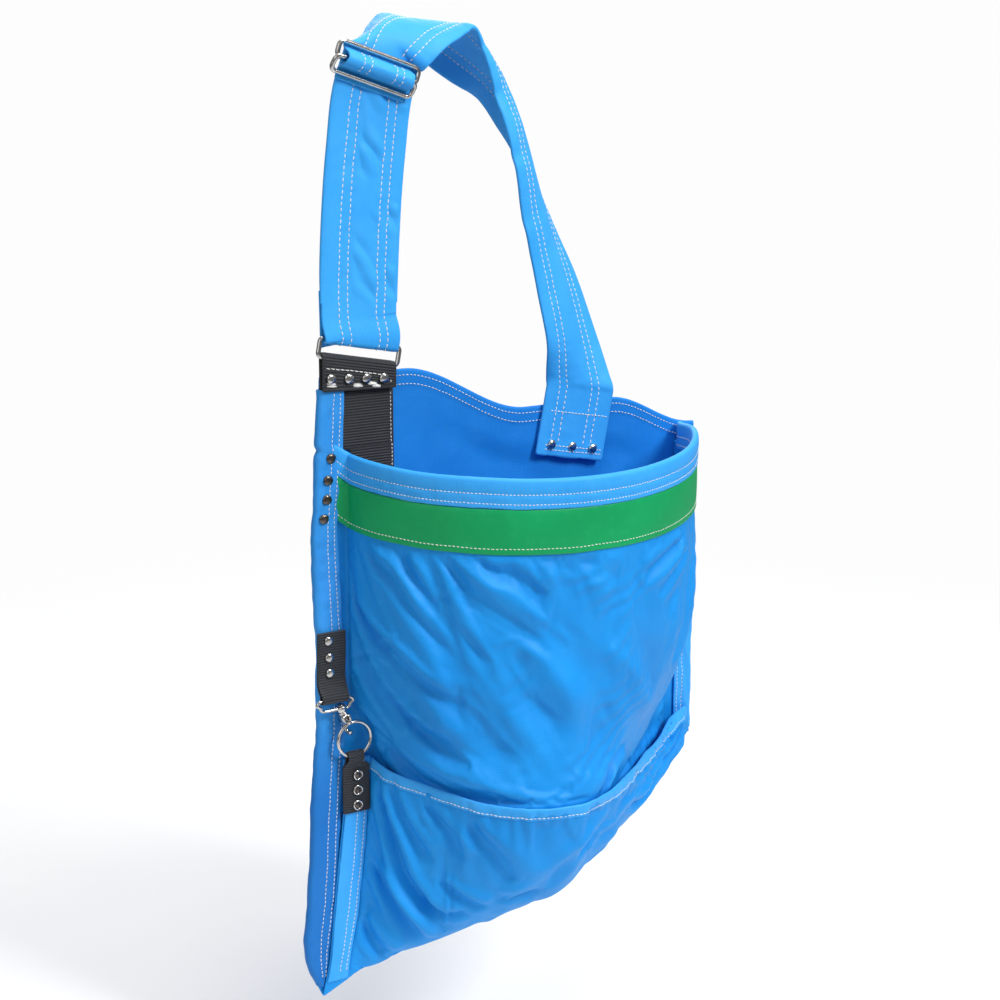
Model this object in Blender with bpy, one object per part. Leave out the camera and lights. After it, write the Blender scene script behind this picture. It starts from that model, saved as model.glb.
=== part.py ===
# Fruit picking bag: single shoulder strap, D-shaped mouth, fold-up dump flap
# held by a swivel snap. All lengths below are in millimetres and are turned
# into metres when the meshes are written.
# Frame: +X along the back panel to its right, +Y towards the wearer, +Z up.
# Origin: rear face of the back panel, mid width, at the level of the rim.
import math
from collections import namedtuple

import bmesh
import bpy
import numpy as np
from mathutils import Vector

RIGHT = np.array([1.0, 0, 0])
REAR = np.array([0, 1.0, 0])
FRONT = (0, -1.0, 0)
UP = np.array([0, 0, 1.0])

# ----------------------------------------------------------------- dimensions
MM = 0.001
GAP = 0.3                     # clearance between neighbouring pieces
CLOTH = 1.6                   # bag cloth, hems and lining together
BACK_T = 3.0                  # stiffened back panel
FLANGE_Y = -BACK_T - GAP - CLOTH / 2    # middle of the front panel's flat flanges
MOUTH_HALF = 167.0            # half width of the mouth
MOUTH_DEPTH = 138.0           # depth of the mouth at its middle
MOUTH_POWER = 1.17            # fullness of the D
RIM_DROOP = 12.5              # the front of the rim hangs this much lower
RIM_DROP_RIGHT = 8.0
HEM_H = 24.0                  # rim hem
HEM_WALL = 1.4
HOOP_T = 2.0                  # stiffener strip inside the hem
HOOP_H = 16.0
BAND_TOP = 24.6               # coloured band below the hem, depths below the rim
BAND_BOTTOM = 62.0
BAND_T = 1.2
PANEL_BOTTOM = -312.0         # lower edge of the front panel, inside the flap
MORPH_TOP_Z = -150.0          # the plan changes from the D to LOW_PLAN between
MORPH_Z = -290.0              # these two heights
BIND_Y0, BIND_Y1 = -5.4, -7.2  # edge binding, rear and front faces
BIND_SHIFT = -3.5             # sideways shift of the left binding

STRAP_W = 68.0                # padded shoulder strap
STRAP_T = 5.0
STRAP_THIN = 1.2              # half thickness where it wraps the ring
STRAP_END = 0.9               # half thickness at the bend line on the right
STRAP_Y = -8.0                # middle of the strap behind the adjuster
WEB_W = 66.0                  # black anchor webbing
WEB_T = 1.5
WEB_X = -156.3                # its middle
WRAP_CLEAR = 0.35             # clearance between a wrapped strap and the wire
WIRE = 2.0                    # radius of the rectangular rings' wire
RING_HALF_W = 36.8            # rectangular ring, to the wire's centre line
RING_CC = 15.5                # strap ring, bar to bar
RING_CORNER = 3.6
ADJ_CC = 13.0                 # adjuster rings, bar to bar
ADJ_CORNER = 4.5
TAB_W = 25.0                  # webbing tabs
TAB_T = 1.2
RIVET_H = 1.9
WEB_RIVET_R = 3.9             # anchor and strap end rivets
FLANGE_RIVET_R = 4.2
UPPER_TAB_RIVET_R = 3.8
LOWER_TAB_RIVET_R = 4.6
EYE_WIRE = 1.5                # radius of the snap eye's wire
ROUND_R = 15.3                # round ring, to the wire's centre line
ROUND_WIRE = 1.65             # radius of its wire
FLAP_Y = -8.6                 # y of the flap's hinge seam and flat left margin
EDGE_STRIP_T = 1.2            # reinforcing strip on that margin

# strap bend line: through the lower bar of the strap ring and the right seam
BEND_L = np.array([-156.5, -7.4, 75.0])
BEND_R = np.array([62.0, -6.2, 33.0])
# dump flap hinge seam: slanted lower edge of the bag
HINGE_L = np.array([-200.0, FLAP_Y, -474.0])
HINGE_R = np.array([186.0, FLAP_Y, -306.0])
# swivel snap: where the round ring's wire crosses the hook, and the hook's axis
SNAP_Y = -15.5
SNAP_C = np.array([-176.7, SNAP_Y, -230.8])
SNAP_UP = np.array([-0.282, 0.0, 0.9594])
EYE_C = np.array([-187.0, SNAP_Y, -206.5])   # centre of the eye's upper bar
ROUND_C = np.array([-169.6, SNAP_Y, -244.5])
ROUND_BOTTOM = ROUND_C[2] - ROUND_R

# ------------------------------------------------------------------ materials
Look = namedtuple("Look", "rgb roughness metallic", defaults=[0.0])

BLUE = (0.05, 0.27, 0.78)
STEEL = (0.72, 0.71, 0.69)
PANEL_BLUE = Look(BLUE, roughness=0.6)
CLOTH_BLUE = Look(BLUE, roughness=0.55)
BAND_GREEN = Look((0.01, 0.30, 0.09), roughness=0.35)
HOOP_GREY = Look((0.75, 0.75, 0.72), roughness=0.4)
WEB_BLACK = Look((0.012, 0.012, 0.014), roughness=0.75)
RING_STEEL = Look(STEEL, roughness=0.2, metallic=1.0)
SPRING_STEEL = Look(STEEL, roughness=0.3, metallic=1.0)
RIVET_STEEL = Look(STEEL, roughness=0.35, metallic=1.0)
RIVET_DARK = Look((0.24, 0.21, 0.18), roughness=0.35, metallic=1.0)


def material(name, look):
    mat = bpy.data.materials.new(name)
    mat.use_nodes = True
    inputs = mat.node_tree.nodes["Principled BSDF"].inputs
    inputs["Base Color"].default_value = (*look.rgb, 1.0)
    inputs["Roughness"].default_value = look.roughness
    inputs["Metallic"].default_value = look.metallic
    return mat


# ------------------------------------------------------------- curve helpers
def unit(v):
    v = np.asarray(v, float)
    return v / np.linalg.norm(v)


def smooth(t):
    """Smooth step from 0 to 1, clamped outside them."""
    t = min(1.0, max(0.0, t))
    return t * t * (3 - 2 * t)


def table(rows, v):
    """Linear look-up in rows of (height, value)."""
    rows = sorted(rows)
    return float(np.interp(v, [z for z, _ in rows], [x for _, x in rows]))


def arc_lengths(points):
    return np.r_[0, np.cumsum(np.linalg.norm(np.diff(points, axis=0), axis=1))]


def tangents(path):
    tan = np.gradient(np.asarray(path, float), axis=0)
    return tan / np.linalg.norm(tan, axis=1)[:, None]


def through(points, count):
    """count rows on a Catmull-Rom curve, spaced by its first three columns."""
    points = np.asarray(points, float)
    along = arc_lengths(points[:, :3])
    slope = np.gradient(points, along, axis=0)
    out = []
    for s in np.linspace(0, along[-1], count):
        i = min(int(np.searchsorted(along, s, side="right")) - 1, len(along) - 2)
        h = along[i + 1] - along[i]
        t = (s - along[i]) / h
        out.append((2*t**3 - 3*t**2 + 1) * points[i]
                   + (t**3 - 2*t**2 + t) * h * slope[i]
                   + (-2*t**3 + 3*t**2) * points[i + 1]
                   + (t**3 - t**2) * h * slope[i + 1])
    return np.array(out)


def turn(count):
    return [2 * math.pi * k / count for k in range(count)]


def circle(centre, side, up, radius, count):
    return [centre + (side * math.cos(a) + up * math.sin(a)) * radius for a in turn(count)]


def round_profile(radius, count):
    return [(radius * math.cos(a), radius * math.sin(a)) for a in turn(count)]


def rounded_rect(centre, side, up, half_w, half_h, corner_r, half_w_low=None):
    """Rounded rectangle path round centre; half_w_low narrows the lower side."""
    steps = 4
    side, up = unit(side), unit(up)
    low = half_w if half_w_low is None else half_w_low
    out = []
    for sx, sy, w, start in ((1, 1, half_w, 0), (-1, 1, half_w, 90),
                             (-1, -1, low, 180), (1, -1, low, 270)):
        for k in range(steps + 1):
            a = math.radians(start + 90 * k / steps)
            out.append(centre + side * (sx * (w - corner_r) + corner_r * math.cos(a))
                       + up * (sy * (half_h - corner_r) + corner_r * math.sin(a)))
    return out


# -------------------------------------------------------------- mesh helpers
def loft(rings, closed=False):
    """Skin over rings of points: joined end to start if closed, else capped."""
    bm = bmesh.new()
    rings = [[bm.verts.new(p) for p in ring] for ring in rings]
    following = rings[1:] + rings[:1] if closed else rings[1:]
    for near, far in zip(rings, following):
        count = len(near)
        for j in range(count):
            k = (j + 1) % count
            bm.faces.new((near[j], near[k], far[k], far[j]))
    if not closed:
        bm.faces.new(rings[0])
        bm.faces.new(list(reversed(rings[-1])))
    return bm


def sweep(frames, profile):
    """Closed 2D profile carried along open frames of (origin, a, b)."""
    return loft([[o + a * p + b * q for p, q in profile] for o, a, b in frames])


def wire_loop(path, normal, radius):
    """Closed wire: an eight-sided circle carried round a flat closed path."""
    seg = 8
    count = len(path)
    normal = unit(normal)
    rings = []
    for i in range(count):
        ahead = unit(path[(i + 1) % count] - path[i])
        tan = unit(ahead + unit(path[i] - path[i - 1]))
        side = np.cross(tan, normal)
        mitre = radius / max(np.dot(ahead, tan), 0.5)
        angles = [2 * math.pi * (k + 0.5) / seg for k in range(seg)]
        rings.append([path[i] + side * (mitre * math.cos(a)) + normal * (radius * math.sin(a))
                      for a in angles])
    return loft(rings, closed=True)


def cylinder(start, end, r_start, r_end, seg=16):
    """Solid cylinder or cone between two points."""
    axis = unit(end - start)
    side = unit(np.cross(axis, REAR if abs(axis[1]) < 0.9 else RIGHT))
    other = np.cross(axis, side)
    return loft([circle(start, side, other, r_start, seg), circle(end, side, other, r_end, seg)])


def grid_solid(points, normals, half):
    """Closed sheet round a grid of centre points. half is the half thickness."""
    points = np.asarray(points, float)
    nu, nv, _ = points.shape
    offset = normals * np.broadcast_to(np.asarray(half, float), (nu, nv))[..., None]
    bm = bmesh.new()
    top, bot = [[[bm.verts.new(p) for p in row] for row in side]
                for side in (points + offset, points - offset)]
    for i in range(nu - 1):
        for j in range(nv - 1):
            bm.faces.new((top[i][j], top[i + 1][j], top[i + 1][j + 1], top[i][j + 1]))
            bm.faces.new((bot[i][j], bot[i][j + 1], bot[i + 1][j + 1], bot[i + 1][j]))
    for i in range(nu - 1):
        bm.faces.new((top[i][0], bot[i][0], bot[i + 1][0], top[i + 1][0]))
        bm.faces.new((top[i][-1], top[i + 1][-1], bot[i + 1][-1], bot[i][-1]))
    for j in range(nv - 1):
        bm.faces.new((top[0][j], top[0][j + 1], bot[0][j + 1], bot[0][j]))
        bm.faces.new((top[-1][j], bot[-1][j], bot[-1][j + 1], top[-1][j + 1]))
    return bm


def grid_normals(points):
    normals = np.cross(np.gradient(points, axis=0), np.gradient(points, axis=1))
    return normals / np.linalg.norm(normals, axis=2)[..., None]


def webbing(path, width_fn, thickness, lean_fn=lambda x, z: 0.0):
    """Webbing folded along a path of (y, z). width_fn(z) gives its left and
    right edges, lean_fn(x, z) the rise added at x."""
    points, normals = [], []
    for (y, z), (ty, tz) in zip(path, tangents(path)):
        left, right = width_fn(z)
        points.append([(x, y, z + lean_fn(x, z)) for x in np.linspace(left, right, 3)])
        normals.append([(0, -tz, ty)] * 3)
    return grid_solid(points, np.array(normals), thickness / 2)


def finish(name, bm, look, origin=(0, 0, 0)):
    """Turn a bmesh in millimetres into an object whose origin is at origin."""
    bmesh.ops.recalc_face_normals(bm, faces=bm.faces)
    if bm.calc_volume(signed=True) < 0:
        bmesh.ops.reverse_faces(bm, faces=bm.faces)
    origin = Vector(origin)
    for v in bm.verts:
        v.co = (v.co - origin) * MM
    me = bpy.data.meshes.new(name)
    bm.to_mesh(me)
    bm.free()
    me.materials.append(material(name + "_mat", look))
    me.shade_smooth()
    me.set_sharp_from_angle(angle=math.radians(35))
    ob = bpy.data.objects.new(name, me)
    ob.location = origin * MM
    bpy.context.scene.collection.objects.link(ob)
    return ob


def boolean(ob, tool_bm, operation):
    """Apply one exact Boolean between ob and a throw-away solid in world mm."""
    bmesh.ops.recalc_face_normals(tool_bm, faces=tool_bm.faces)
    for v in tool_bm.verts:
        v.co = v.co * MM
    tool_mesh = bpy.data.meshes.new("tool")
    tool_bm.to_mesh(tool_mesh)
    tool_bm.free()
    tool = bpy.data.objects.new("tool", tool_mesh)
    bpy.context.scene.collection.objects.link(tool)
    mod = ob.modifiers.new("b", "BOOLEAN")
    mod.operation = operation
    mod.solver = "EXACT"
    mod.object = tool
    bpy.context.view_layer.update()
    depsgraph = bpy.context.evaluated_depsgraph_get()
    new = bpy.data.meshes.new_from_object(ob.evaluated_get(depsgraph))
    ob.modifiers.clear()
    old = ob.data
    new.name = old.name
    ob.data = new
    bpy.data.objects.remove(tool, do_unlink=True)
    bpy.data.meshes.remove(old)


# ------------------------------------------------------------- shared pieces
def rivets(prefix, positions, radius, look=RIVET_STEEL):
    """Domed rivet heads with a short flat rim, facing the front."""
    rows = [(radius, 0.0), (radius, 0.35), (radius * 0.78, 0.78), (radius * 0.4, 1.0)]
    for i, pos in enumerate(positions):
        pos = np.asarray(pos, float)
        rings = [circle(pos - REAR * (RIVET_H * rise), -RIGHT, -UP, r, 12) for r, rise in rows]
        finish("%s_%d" % (prefix, i + 1), loft(rings), look, origin=pos)


def flat_strip(name, rows, y_rear, y_front):
    """Upright strip between two faces, rows of (height, left, right)."""
    rings = [[(left, y_front, z), (right, y_front, z), (right, y_rear, z), (left, y_rear, z)]
             for z, left, right in rows]
    return finish(name, loft(rings), PANEL_BLUE)


def rect_ring(name, centre, side, up, bar_spacing, corner_r, origin):
    path = rounded_rect(centre, side, up, RING_HALF_W, bar_spacing / 2, corner_r)
    finish(name, wire_loop(path, np.cross(side, up), WIRE), RING_STEEL, origin=origin)


# ------------------------------------------------------------------ bag edges
# (height, x) of the left edge of the bag
EDGE_L = [
    (56, -188), (20, -190), (-51, -193), (-71, -196), (-123, -195), (-166, -193), (-210, -195),
    (-245, -196), (-303, -202), (-349, -204), (-395, -207), (-424, -211), (-452, -208),
    (-470, -199)]
# (height, x) of the inner edge of the left binding, before BIND_SHIFT
BIND_L = [
    (56, -166), (0, -168), (-60, -175), (-140, -172), (-175, -169), (-240, -171), (-301, -176),
    (-362, -179), (-399, -183), (-429, -188), (-470, -194)]
# (x, y) plan of the front panel at the level of the flap's hem, left to right
LOW_PLAN = [
    (-166, FLANGE_Y), (-150, -26), (-124, -58), (-98, -96), (-68, -123), (-32, -133),
    (8, -120), (46, -95), (82, -67), (114, -42), (140, -22), (160, FLANGE_Y)]
LOW_STEPS = 400
LOW_CURVE = through([(x, y, 0) for x, y in LOW_PLAN], LOW_STEPS + 1)


def back_top(x):
    """Upper edge of the back panel: high at the anchor, low at the right."""
    return 63.0 - 44.0 * smooth((x + 112.0) / 120.0) - 30.0 * smooth((x - 96.0) / 90.0)


def rim_z(t):
    return -RIM_DROOP * math.sin(t) - RIM_DROP_RIGHT * smooth((t / math.pi - 0.85) / 0.15)


def plan(t, z):
    """Centre line of the front panel's cloth at height z; t runs 0 to pi from
    the left seam to the right."""
    x0 = -MOUTH_HALF * math.cos(t)
    y0 = FLANGE_Y - (MOUTH_DEPTH + FLANGE_Y) * max(0.0, math.sin(t)) ** MOUTH_POWER
    f = (t / math.pi) * LOW_STEPS
    i = min(int(f), LOW_STEPS - 1)
    low = LOW_CURVE[i] + (LOW_CURVE[i + 1] - LOW_CURVE[i]) * (f - i)
    morph = smooth((MORPH_TOP_Z - z) / (MORPH_TOP_Z - MORPH_Z))
    shrink = 1.0 - 0.10 * smooth((MORPH_Z - z) / 60.0)
    # the left seam runs in behind the flap
    tuck = 19.0 * smooth((-205.0 - z) / 60.0) * (1 - smooth(t / 0.55))
    return np.array([x0 + (low[0] - x0) * morph + tuck,
                     y0 + (low[1] * shrink - y0) * morph, z])


# --------------------------------------------------------------- bag and rim
def build_back_panel():
    outline = [(table(EDGE_L, z), z) for z in np.linspace(60, -470, 24)]
    outline += [(HINGE_R[0], HINGE_R[2] + 3), (188, -270), (187, -20)]
    outline += [(x, back_top(x)) for x in np.linspace(184, -184, 30)]
    faces = [[(x, y, z) for x, z in outline] for y in (-BACK_T, 0.0)]
    finish("back_panel", loft(faces), PANEL_BLUE)


def build_front_panel():
    """Curved front with a flat flange column added at each side."""
    params = [0.0] + list(np.linspace(0.05, math.pi - 0.05, 32)) + [math.pi]

    def column(t, point_fn):
        top = rim_z(t) - HOOP_H - HEM_WALL - 3 * GAP
        return [point_fn(top + (PANEL_BOTTOM - top) * f) for f in np.linspace(0, 1, 13)]

    points = [column(0.0, lambda z: (table(EDGE_L, z) - 1.5, FLANGE_Y, z))]
    points += [column(t, lambda z, t=t: plan(t, z)) for t in params]
    points.append(column(math.pi, lambda z: (186.5, FLANGE_Y, z)))
    points = np.array(points)
    normals = grid_normals(points)
    # the flanges lie flat against the back panel
    normals[:2] = normals[-2:] = FRONT
    normals[normals[..., 1] > 0] *= -1
    finish("front_panel", grid_solid(points, normals, CLOTH / 2), CLOTH_BLUE)


def rim_sweep(name, profile, look, t_start):
    """Profile of (outward, up) carried round the rim line."""
    step = 1e-3
    frames = []
    for t in np.linspace(t_start, math.pi - t_start, 40):
        tan = unit(plan(t + step, 0.0) - plan(t - step, 0.0))
        x, y, _ = plan(t, 0.0)
        frames.append((np.array([x, y, rim_z(t)]), np.array([tan[1], -tan[0], 0.0]), UP))
    finish(name, sweep(frames, profile), look)


def build_rim():
    # the hem is an inverted U over the hoop and the cloth
    inner = CLOTH / 2 + 2 * GAP
    outer = inner + HEM_WALL
    rim_sweep("rim_hem", [(outer, -HEM_H), (outer, 0), (-outer, 0), (-outer, -HEM_H),
                          (-inner, -HEM_H), (-inner, -HEM_WALL),
                          (inner, -HEM_WALL), (inner, -HEM_H)], CLOTH_BLUE, 0.10)
    top = -HEM_WALL - GAP
    half = HOOP_T / 2
    rim_sweep("rim_hoop", [(half, top - HOOP_H), (half, top), (-half, top),
                           (-half, top - HOOP_H)], HOOP_GREY, 0.12)
    inside = CLOTH / 2 + GAP
    outside = inside + BAND_T
    rim_sweep("green_band", [(outside, -BAND_BOTTOM), (outside, -BAND_TOP),
                             (inside, -BAND_TOP), (inside, -BAND_BOTTOM)], BAND_GREEN, 0.09)


def build_bindings():
    left = [(z, table(EDGE_L, z) + BIND_SHIFT, table(BIND_L, z) + BIND_SHIFT)
            for z in np.linspace(52, -456, 26)]
    flat_strip("side_binding_left", left, BIND_Y0, BIND_Y1)
    right = [(z, 170.0, 188.5) for z in np.linspace(-26, -302, 4)]
    flat_strip("side_binding_right", right, BIND_Y0, BIND_Y1)
    spots = ((-182.5, -3), (-185.5, -21), (-187, -37), (-190, -53))
    rivets("flange_rivet", [(x, BIND_Y1 - GAP, z) for x, z in spots], FLANGE_RIVET_R,
           RIVET_DARK)


# --------------------------------------------------- anchor webbing and ring
BEND_AX = unit(BEND_R - BEND_L)
BEND_UP = unit(np.cross(BEND_AX, REAR))            # up, square to the bend line


def build_anchor():
    """Webbing up the back panel, over the ring's lower bar and down in front."""
    _, bar_y, bar_z = BEND_L
    radius = WIRE + WRAP_CLEAR + WEB_T / 2
    rear_y = -BACK_T - GAP - WEB_T / 2
    front_y = bar_y - radius
    path = [(rear_y, z) for z in np.linspace(-50, 66, 9)]
    path += [(bar_y + radius * math.cos(a), bar_z + radius * math.sin(a))
             for a in np.linspace(0.0, math.pi, 11)]
    path += [(front_y + 0.1, 69), (front_y + 0.5, 62), (front_y + 0.7, 52)]
    slope = BEND_AX[2] / BEND_AX[0]

    def edges(z):
        """The left edge steps in by 26 below the rim."""
        return (WEB_X - WEB_W / 2 + 26.0 * (1 - smooth((z - 1.5) / 3.0)), WEB_X + WEB_W / 2)

    def lean(x, z):
        return slope * smooth((z - 48) / 16.0) * (x - BEND_L[0])

    finish("anchor_webbing", webbing(path, edges, WEB_T, lean), WEB_BLACK)
    rivet_y = front_y + 0.1 - WEB_T / 2 - GAP
    offsets = [-26.5 + 16.0 * i for i in range(4)]
    rivets("anchor_rivet", [(WEB_X + dx, rivet_y, 61.5 - 0.07 * dx) for dx in offsets],
           WEB_RIVET_R)
    rect_ring("strap_ring", BEND_L + BEND_UP * RING_CC / 2, BEND_AX, BEND_UP,
              RING_CC, RING_CORNER, origin=BEND_L)


# -------------------------------------------------------------- shoulder strap
# centre x, y, z; width direction x, y, z; curl across the width in degrees
STRAP_KEYS = [
    (-155.6, -9.6, 112, 0.990, 0.00, -.140, 0),
    (-154.6, -8.0, 135, 0.995, 0.00, -.090, 0),
    (-152.0, -8.0, 185, 0.998, 0.00, -.055, 0),
    (-146.0, -8.0, 245, 0.990, 0.00, -.130, 0),
    (-138.5, -8.0, 292, 0.950, 0.00, -.310, 0),
    (-131.0, -8.0, 313, 0.935, 0.00, -.355, 0),
    (-126.0, -7.8, 325.5, 0.925, 0.00, -.380, 0),
    (-113.5, -3.6, 334.8, 0.780, -.37, -.450, 5),
    (-88.0, 9.0, 342.0, 0.590, -.750, -.270, 30),
    (-57.4, 23.6, 338.3, 0.570, -.808, 0.149, 55),
    (-41.4, 26.4, 330.6, 0.313, -.866, 0.394, 110),
    (-7.0, 17.8, 296.8, -.322, -.894, 0.310, 120),
    (8.4, 10.1, 257.0, -.426, -.904, -.012, 91),
    (25.9, 6.6, 192.3, -.460, -.885, -.010, 70),
    (45.0, 1.0, 128, -.800, -.60, 0.03, 30),
    (56.5, -4.0, 70, -.940, -.30, 0.12, 8),
    (61.5, -6.2, 36, -.981, 0.0, 0.190, 0),
]


def strap_rows():
    """Rows of centre, width direction, curl, half thickness and end turn."""
    bar = BEND_L + BEND_UP * RING_CC
    radius = WIRE + WRAP_CLEAR + STRAP_THIN
    rows = []
    # thin end behind the strap, down to the ring's upper bar
    for z in (134, 122, 110, 98):
        f = (z - 98) / 36.0
        centre = np.array([-154.4 - 0.4 * f, bar[1] + radius - 0.1, z])
        across = BEND_AX * (1 - f) + unit((0.995, 0, -.09)) * f
        rows.append((centre, across, 0, STRAP_THIN, 0.0))
    # round the bar from rear to front
    for a in np.linspace(0, -math.pi, 9):
        centre = bar + REAR * radius * math.cos(a) + BEND_UP * radius * math.sin(a)
        rows.append((centre, BEND_AX, 0, STRAP_THIN, 0.0))
    # padded length over the shoulder, thinned again at the right seam
    keys = through(STRAP_KEYS, 58)
    for i, key in enumerate(keys):
        left = len(keys) - 1 - i
        half = STRAP_THIN + (STRAP_T / 2 - STRAP_THIN) * smooth(i / 4.0)
        half = STRAP_END + (half - STRAP_END) * smooth(left / 3.0)
        rows.append((key[:3], unit(key[3:6]), key[6], half, smooth((7 - left) / 7.0)))
    return rows


def build_strap():
    rows = strap_rows()
    tans = tangents([row[0] for row in rows])
    columns = 7
    narrow_rows = 17              # the first rows are a little narrower
    points = np.zeros((len(rows), columns, 3))
    normals = np.zeros((len(rows), columns, 3))
    halves = np.zeros((len(rows), columns))
    for i, (centre, across, curl, half, end_turn) in enumerate(rows):
        # square to the path, except that the last rows turn parallel to the bend line
        across = unit(across - (1 - end_turn) * np.dot(across, tans[i]) * tans[i])
        out = unit(-np.cross(tans[i], across))
        arc = math.radians(max(curl, 0.5))
        radius = STRAP_W / arc
        width = 0.97 if i < narrow_rows else 1.0
        for j in range(columns):
            a = (j / (columns - 1) - 0.5) * arc * width
            points[i, j] = centre + across * radius * math.sin(a) + out * radius * (math.cos(a) - 1)
            normals[i, j] = across * math.sin(a) + out * math.cos(a)
            halves[i, j] = half * (0.55 if j in (0, columns - 1) else 1.0)
    finish("shoulder_strap", grid_solid(points, normals, halves), CLOTH_BLUE, origin=BEND_L)


def build_strap_end():
    """Sewn right end of the strap, flat on the front face of the back panel."""
    # distance below the strap's last row, half thickness
    stations = [(0.0, STRAP_END), (3.5, 2.0), (10.0, 2.5), (36.0, 2.5), (62.0, 2.3)]
    points = [[BEND_R - BEND_UP * (1.2 + drop) + BEND_AX * dx
               for dx in np.linspace(-STRAP_W / 2, STRAP_W / 2, 5)] for drop, _ in stations]
    halves = [[half] * 5 for _, half in stations]
    finish("strap_right_end", grid_solid(points, np.tile(np.array(FRONT), (5, 5, 1)), halves),
           CLOTH_BLUE)
    middle = BEND_R - BEND_UP * 52 - REAR * (STRAP_T / 2 + GAP)
    rivets("strap_end_rivet", [middle + BEND_AX * dx for dx in (-22, 0, 22)], WEB_RIVET_R)


# ------------------------------------------------------------- strap adjuster
ADJ_TILT = math.radians(-18.5)
ADJ_AX = np.array([math.cos(ADJ_TILT), 0, math.sin(ADJ_TILT)])
ADJ_UP = np.array([-math.sin(ADJ_TILT), 0, math.cos(ADJ_TILT)])
ADJ_TOP = np.array([-135.8, 0, 318.5])              # x and z of the upper bar's centre
ADJ_LOW_DROP = 24.5                                 # upper bar to the lower ring's lower bar
ADJ_LOW_SHIFT = -2.0                                # the lower ring sits this far along ADJ_AX
ADJ_LEAN = math.radians(23)                         # the lower ring's top leans forward
BIGHT_W = 62.0
BIGHT_HALF = 1.1                                    # half thickness behind the bars
BIGHT_Y = STRAP_Y - STRAP_T / 2 - GAP - BIGHT_HALF  # middle of the bight on the strap
BAR_Y = BIGHT_Y - BIGHT_HALF - GAP - WIRE           # bars in front of the bight's ends
# folded strap end: distance along ADJ_UP from the upper bar, y, half thickness
BIGHT = [
    (1.2, BIGHT_Y - 0.1, 1.0), (0.0, BIGHT_Y - 0.1, 1.0), (-2.4, BIGHT_Y, 1.1),
    (-4.6, BIGHT_Y - 1.6, 1.1), (-6.4, BAR_Y - 3.0, 1.2), (-8.4, BAR_Y - 7.4, 1.3),
    (-12.3, BAR_Y - 9.6, 1.4), (-16.0, BAR_Y - 8.2, 1.4), (-18.2, BAR_Y - 4.4, 1.2),
    (-19.4, BAR_Y - 0.2, 1.1), (-20.8, BIGHT_Y - 0.7, 1.1), (-23.0, BIGHT_Y, 1.1),
    (-25.5, BIGHT_Y, 1.1), (-28.5, BIGHT_Y, 1.1)]


def build_adjuster():
    top_bar = ADJ_TOP + REAR * BAR_Y
    upper = top_bar - ADJ_UP * ADJ_CC / 2
    rect_ring("adjuster_ring_upper", upper, ADJ_AX, ADJ_UP, ADJ_CC, ADJ_CORNER, origin=upper)
    low_bar = top_bar - ADJ_UP * ADJ_LOW_DROP + ADJ_AX * ADJ_LOW_SHIFT
    lean_up = ADJ_UP * math.cos(ADJ_LEAN) - REAR * math.sin(ADJ_LEAN)
    lower = low_bar + lean_up * ADJ_CC / 2
    rect_ring("adjuster_ring_lower", lower, ADJ_AX, lean_up, ADJ_CC, ADJ_CORNER, origin=lower)
    # the bight passes behind the outer bars and over the inner two
    curve = through(BIGHT, 26)
    points, normals = [], []
    for (rise, y, _), (t_up, t_y) in zip(curve, tangents(curve[:, :2])):
        out = unit(ADJ_UP * t_y - REAR * t_up)
        normals.append([-out if out[1] >= 0 else out] * 3)
        points.append([ADJ_TOP + ADJ_UP * rise + REAR * y + ADJ_AX * dx
                       for dx in np.linspace(-BIGHT_W / 2, BIGHT_W / 2, 3)])
    finish("strap_bight", grid_solid(points, np.array(normals), curve[:, 2:]), CLOTH_BLUE,
           origin=top_bar)


# ------------------------------------------------------------------ upper tab
def build_upper_tab():
    """Webbing tab sewn over the left binding and folded under the snap's eye."""
    radius = EYE_WIRE + 0.45 + TAB_T / 2
    rear_y = BIND_Y1 - GAP - TAB_T / 2
    front_y = rear_y - TAB_T - GAP
    path = [(rear_y, z) for z in (-150, -165, -180, -192)]
    path += [(rear_y - 1.6, -198.5), (SNAP_Y + radius, EYE_C[2] + 2.5)]
    path += [(SNAP_Y + radius * math.cos(a), EYE_C[2] + radius * math.sin(a))
             for a in np.linspace(0, -math.pi, 9)]
    path += [(SNAP_Y - radius + 0.4, EYE_C[2] + 3.0), (front_y - 2.2, -195.5), (front_y, -189)]
    path += [(front_y, z) for z in (-180, -165, -150)]

    def edges(z):
        centre = -187.4 + 1.2 * smooth((z + 207) / 57.0)
        return (centre - TAB_W / 2, centre + TAB_W / 2)

    finish("upper_tab", webbing(path, edges, TAB_T), WEB_BLACK)
    rivet_y = front_y - TAB_T / 2 - GAP
    spots = [(-189.5, rivet_y, -156.5), (-189.1, rivet_y, -171), (-188.7, rivet_y, -184.5)]
    rivets("upper_tab_rivet", spots, UPPER_TAB_RIVET_R)


# --------------------------------------------------------------- swivel snap
SNAP_X = np.array([SNAP_UP[2], 0, -SNAP_UP[0]])
HOOK_R = 3.9                  # bend of the hook, to its centre line
HOOK_WIRE = 1.3
HOOK_BEND_Z = -4.5            # height of the bend's centre
GATE_R = 1.25
THUMB_Z = 5.2                 # height of the gate's thumb stud
SPRING_R = 0.95               # coil radius, to the wire's centre line
SPRING_WIRE = 0.17
SPRING_Z, SPRING_LEN = 7.85, 2.0
# turned parts on the hook's axis: bottom, top, bottom radius, top radius
HOOK_TURNED = [
    (11.0, 13.2, 3.7, 3.7),   # collar
    (13.0, 19.2, 1.6, 1.6),   # stem through the eye
    (19.0, 20.2, 2.8, 2.2),   # tapered head
]


def snap_point(x, y, z):
    """Point in the snap's own frame, z along the hook's axis."""
    return SNAP_C + SNAP_X * x + REAR * y + SNAP_UP * z


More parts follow.
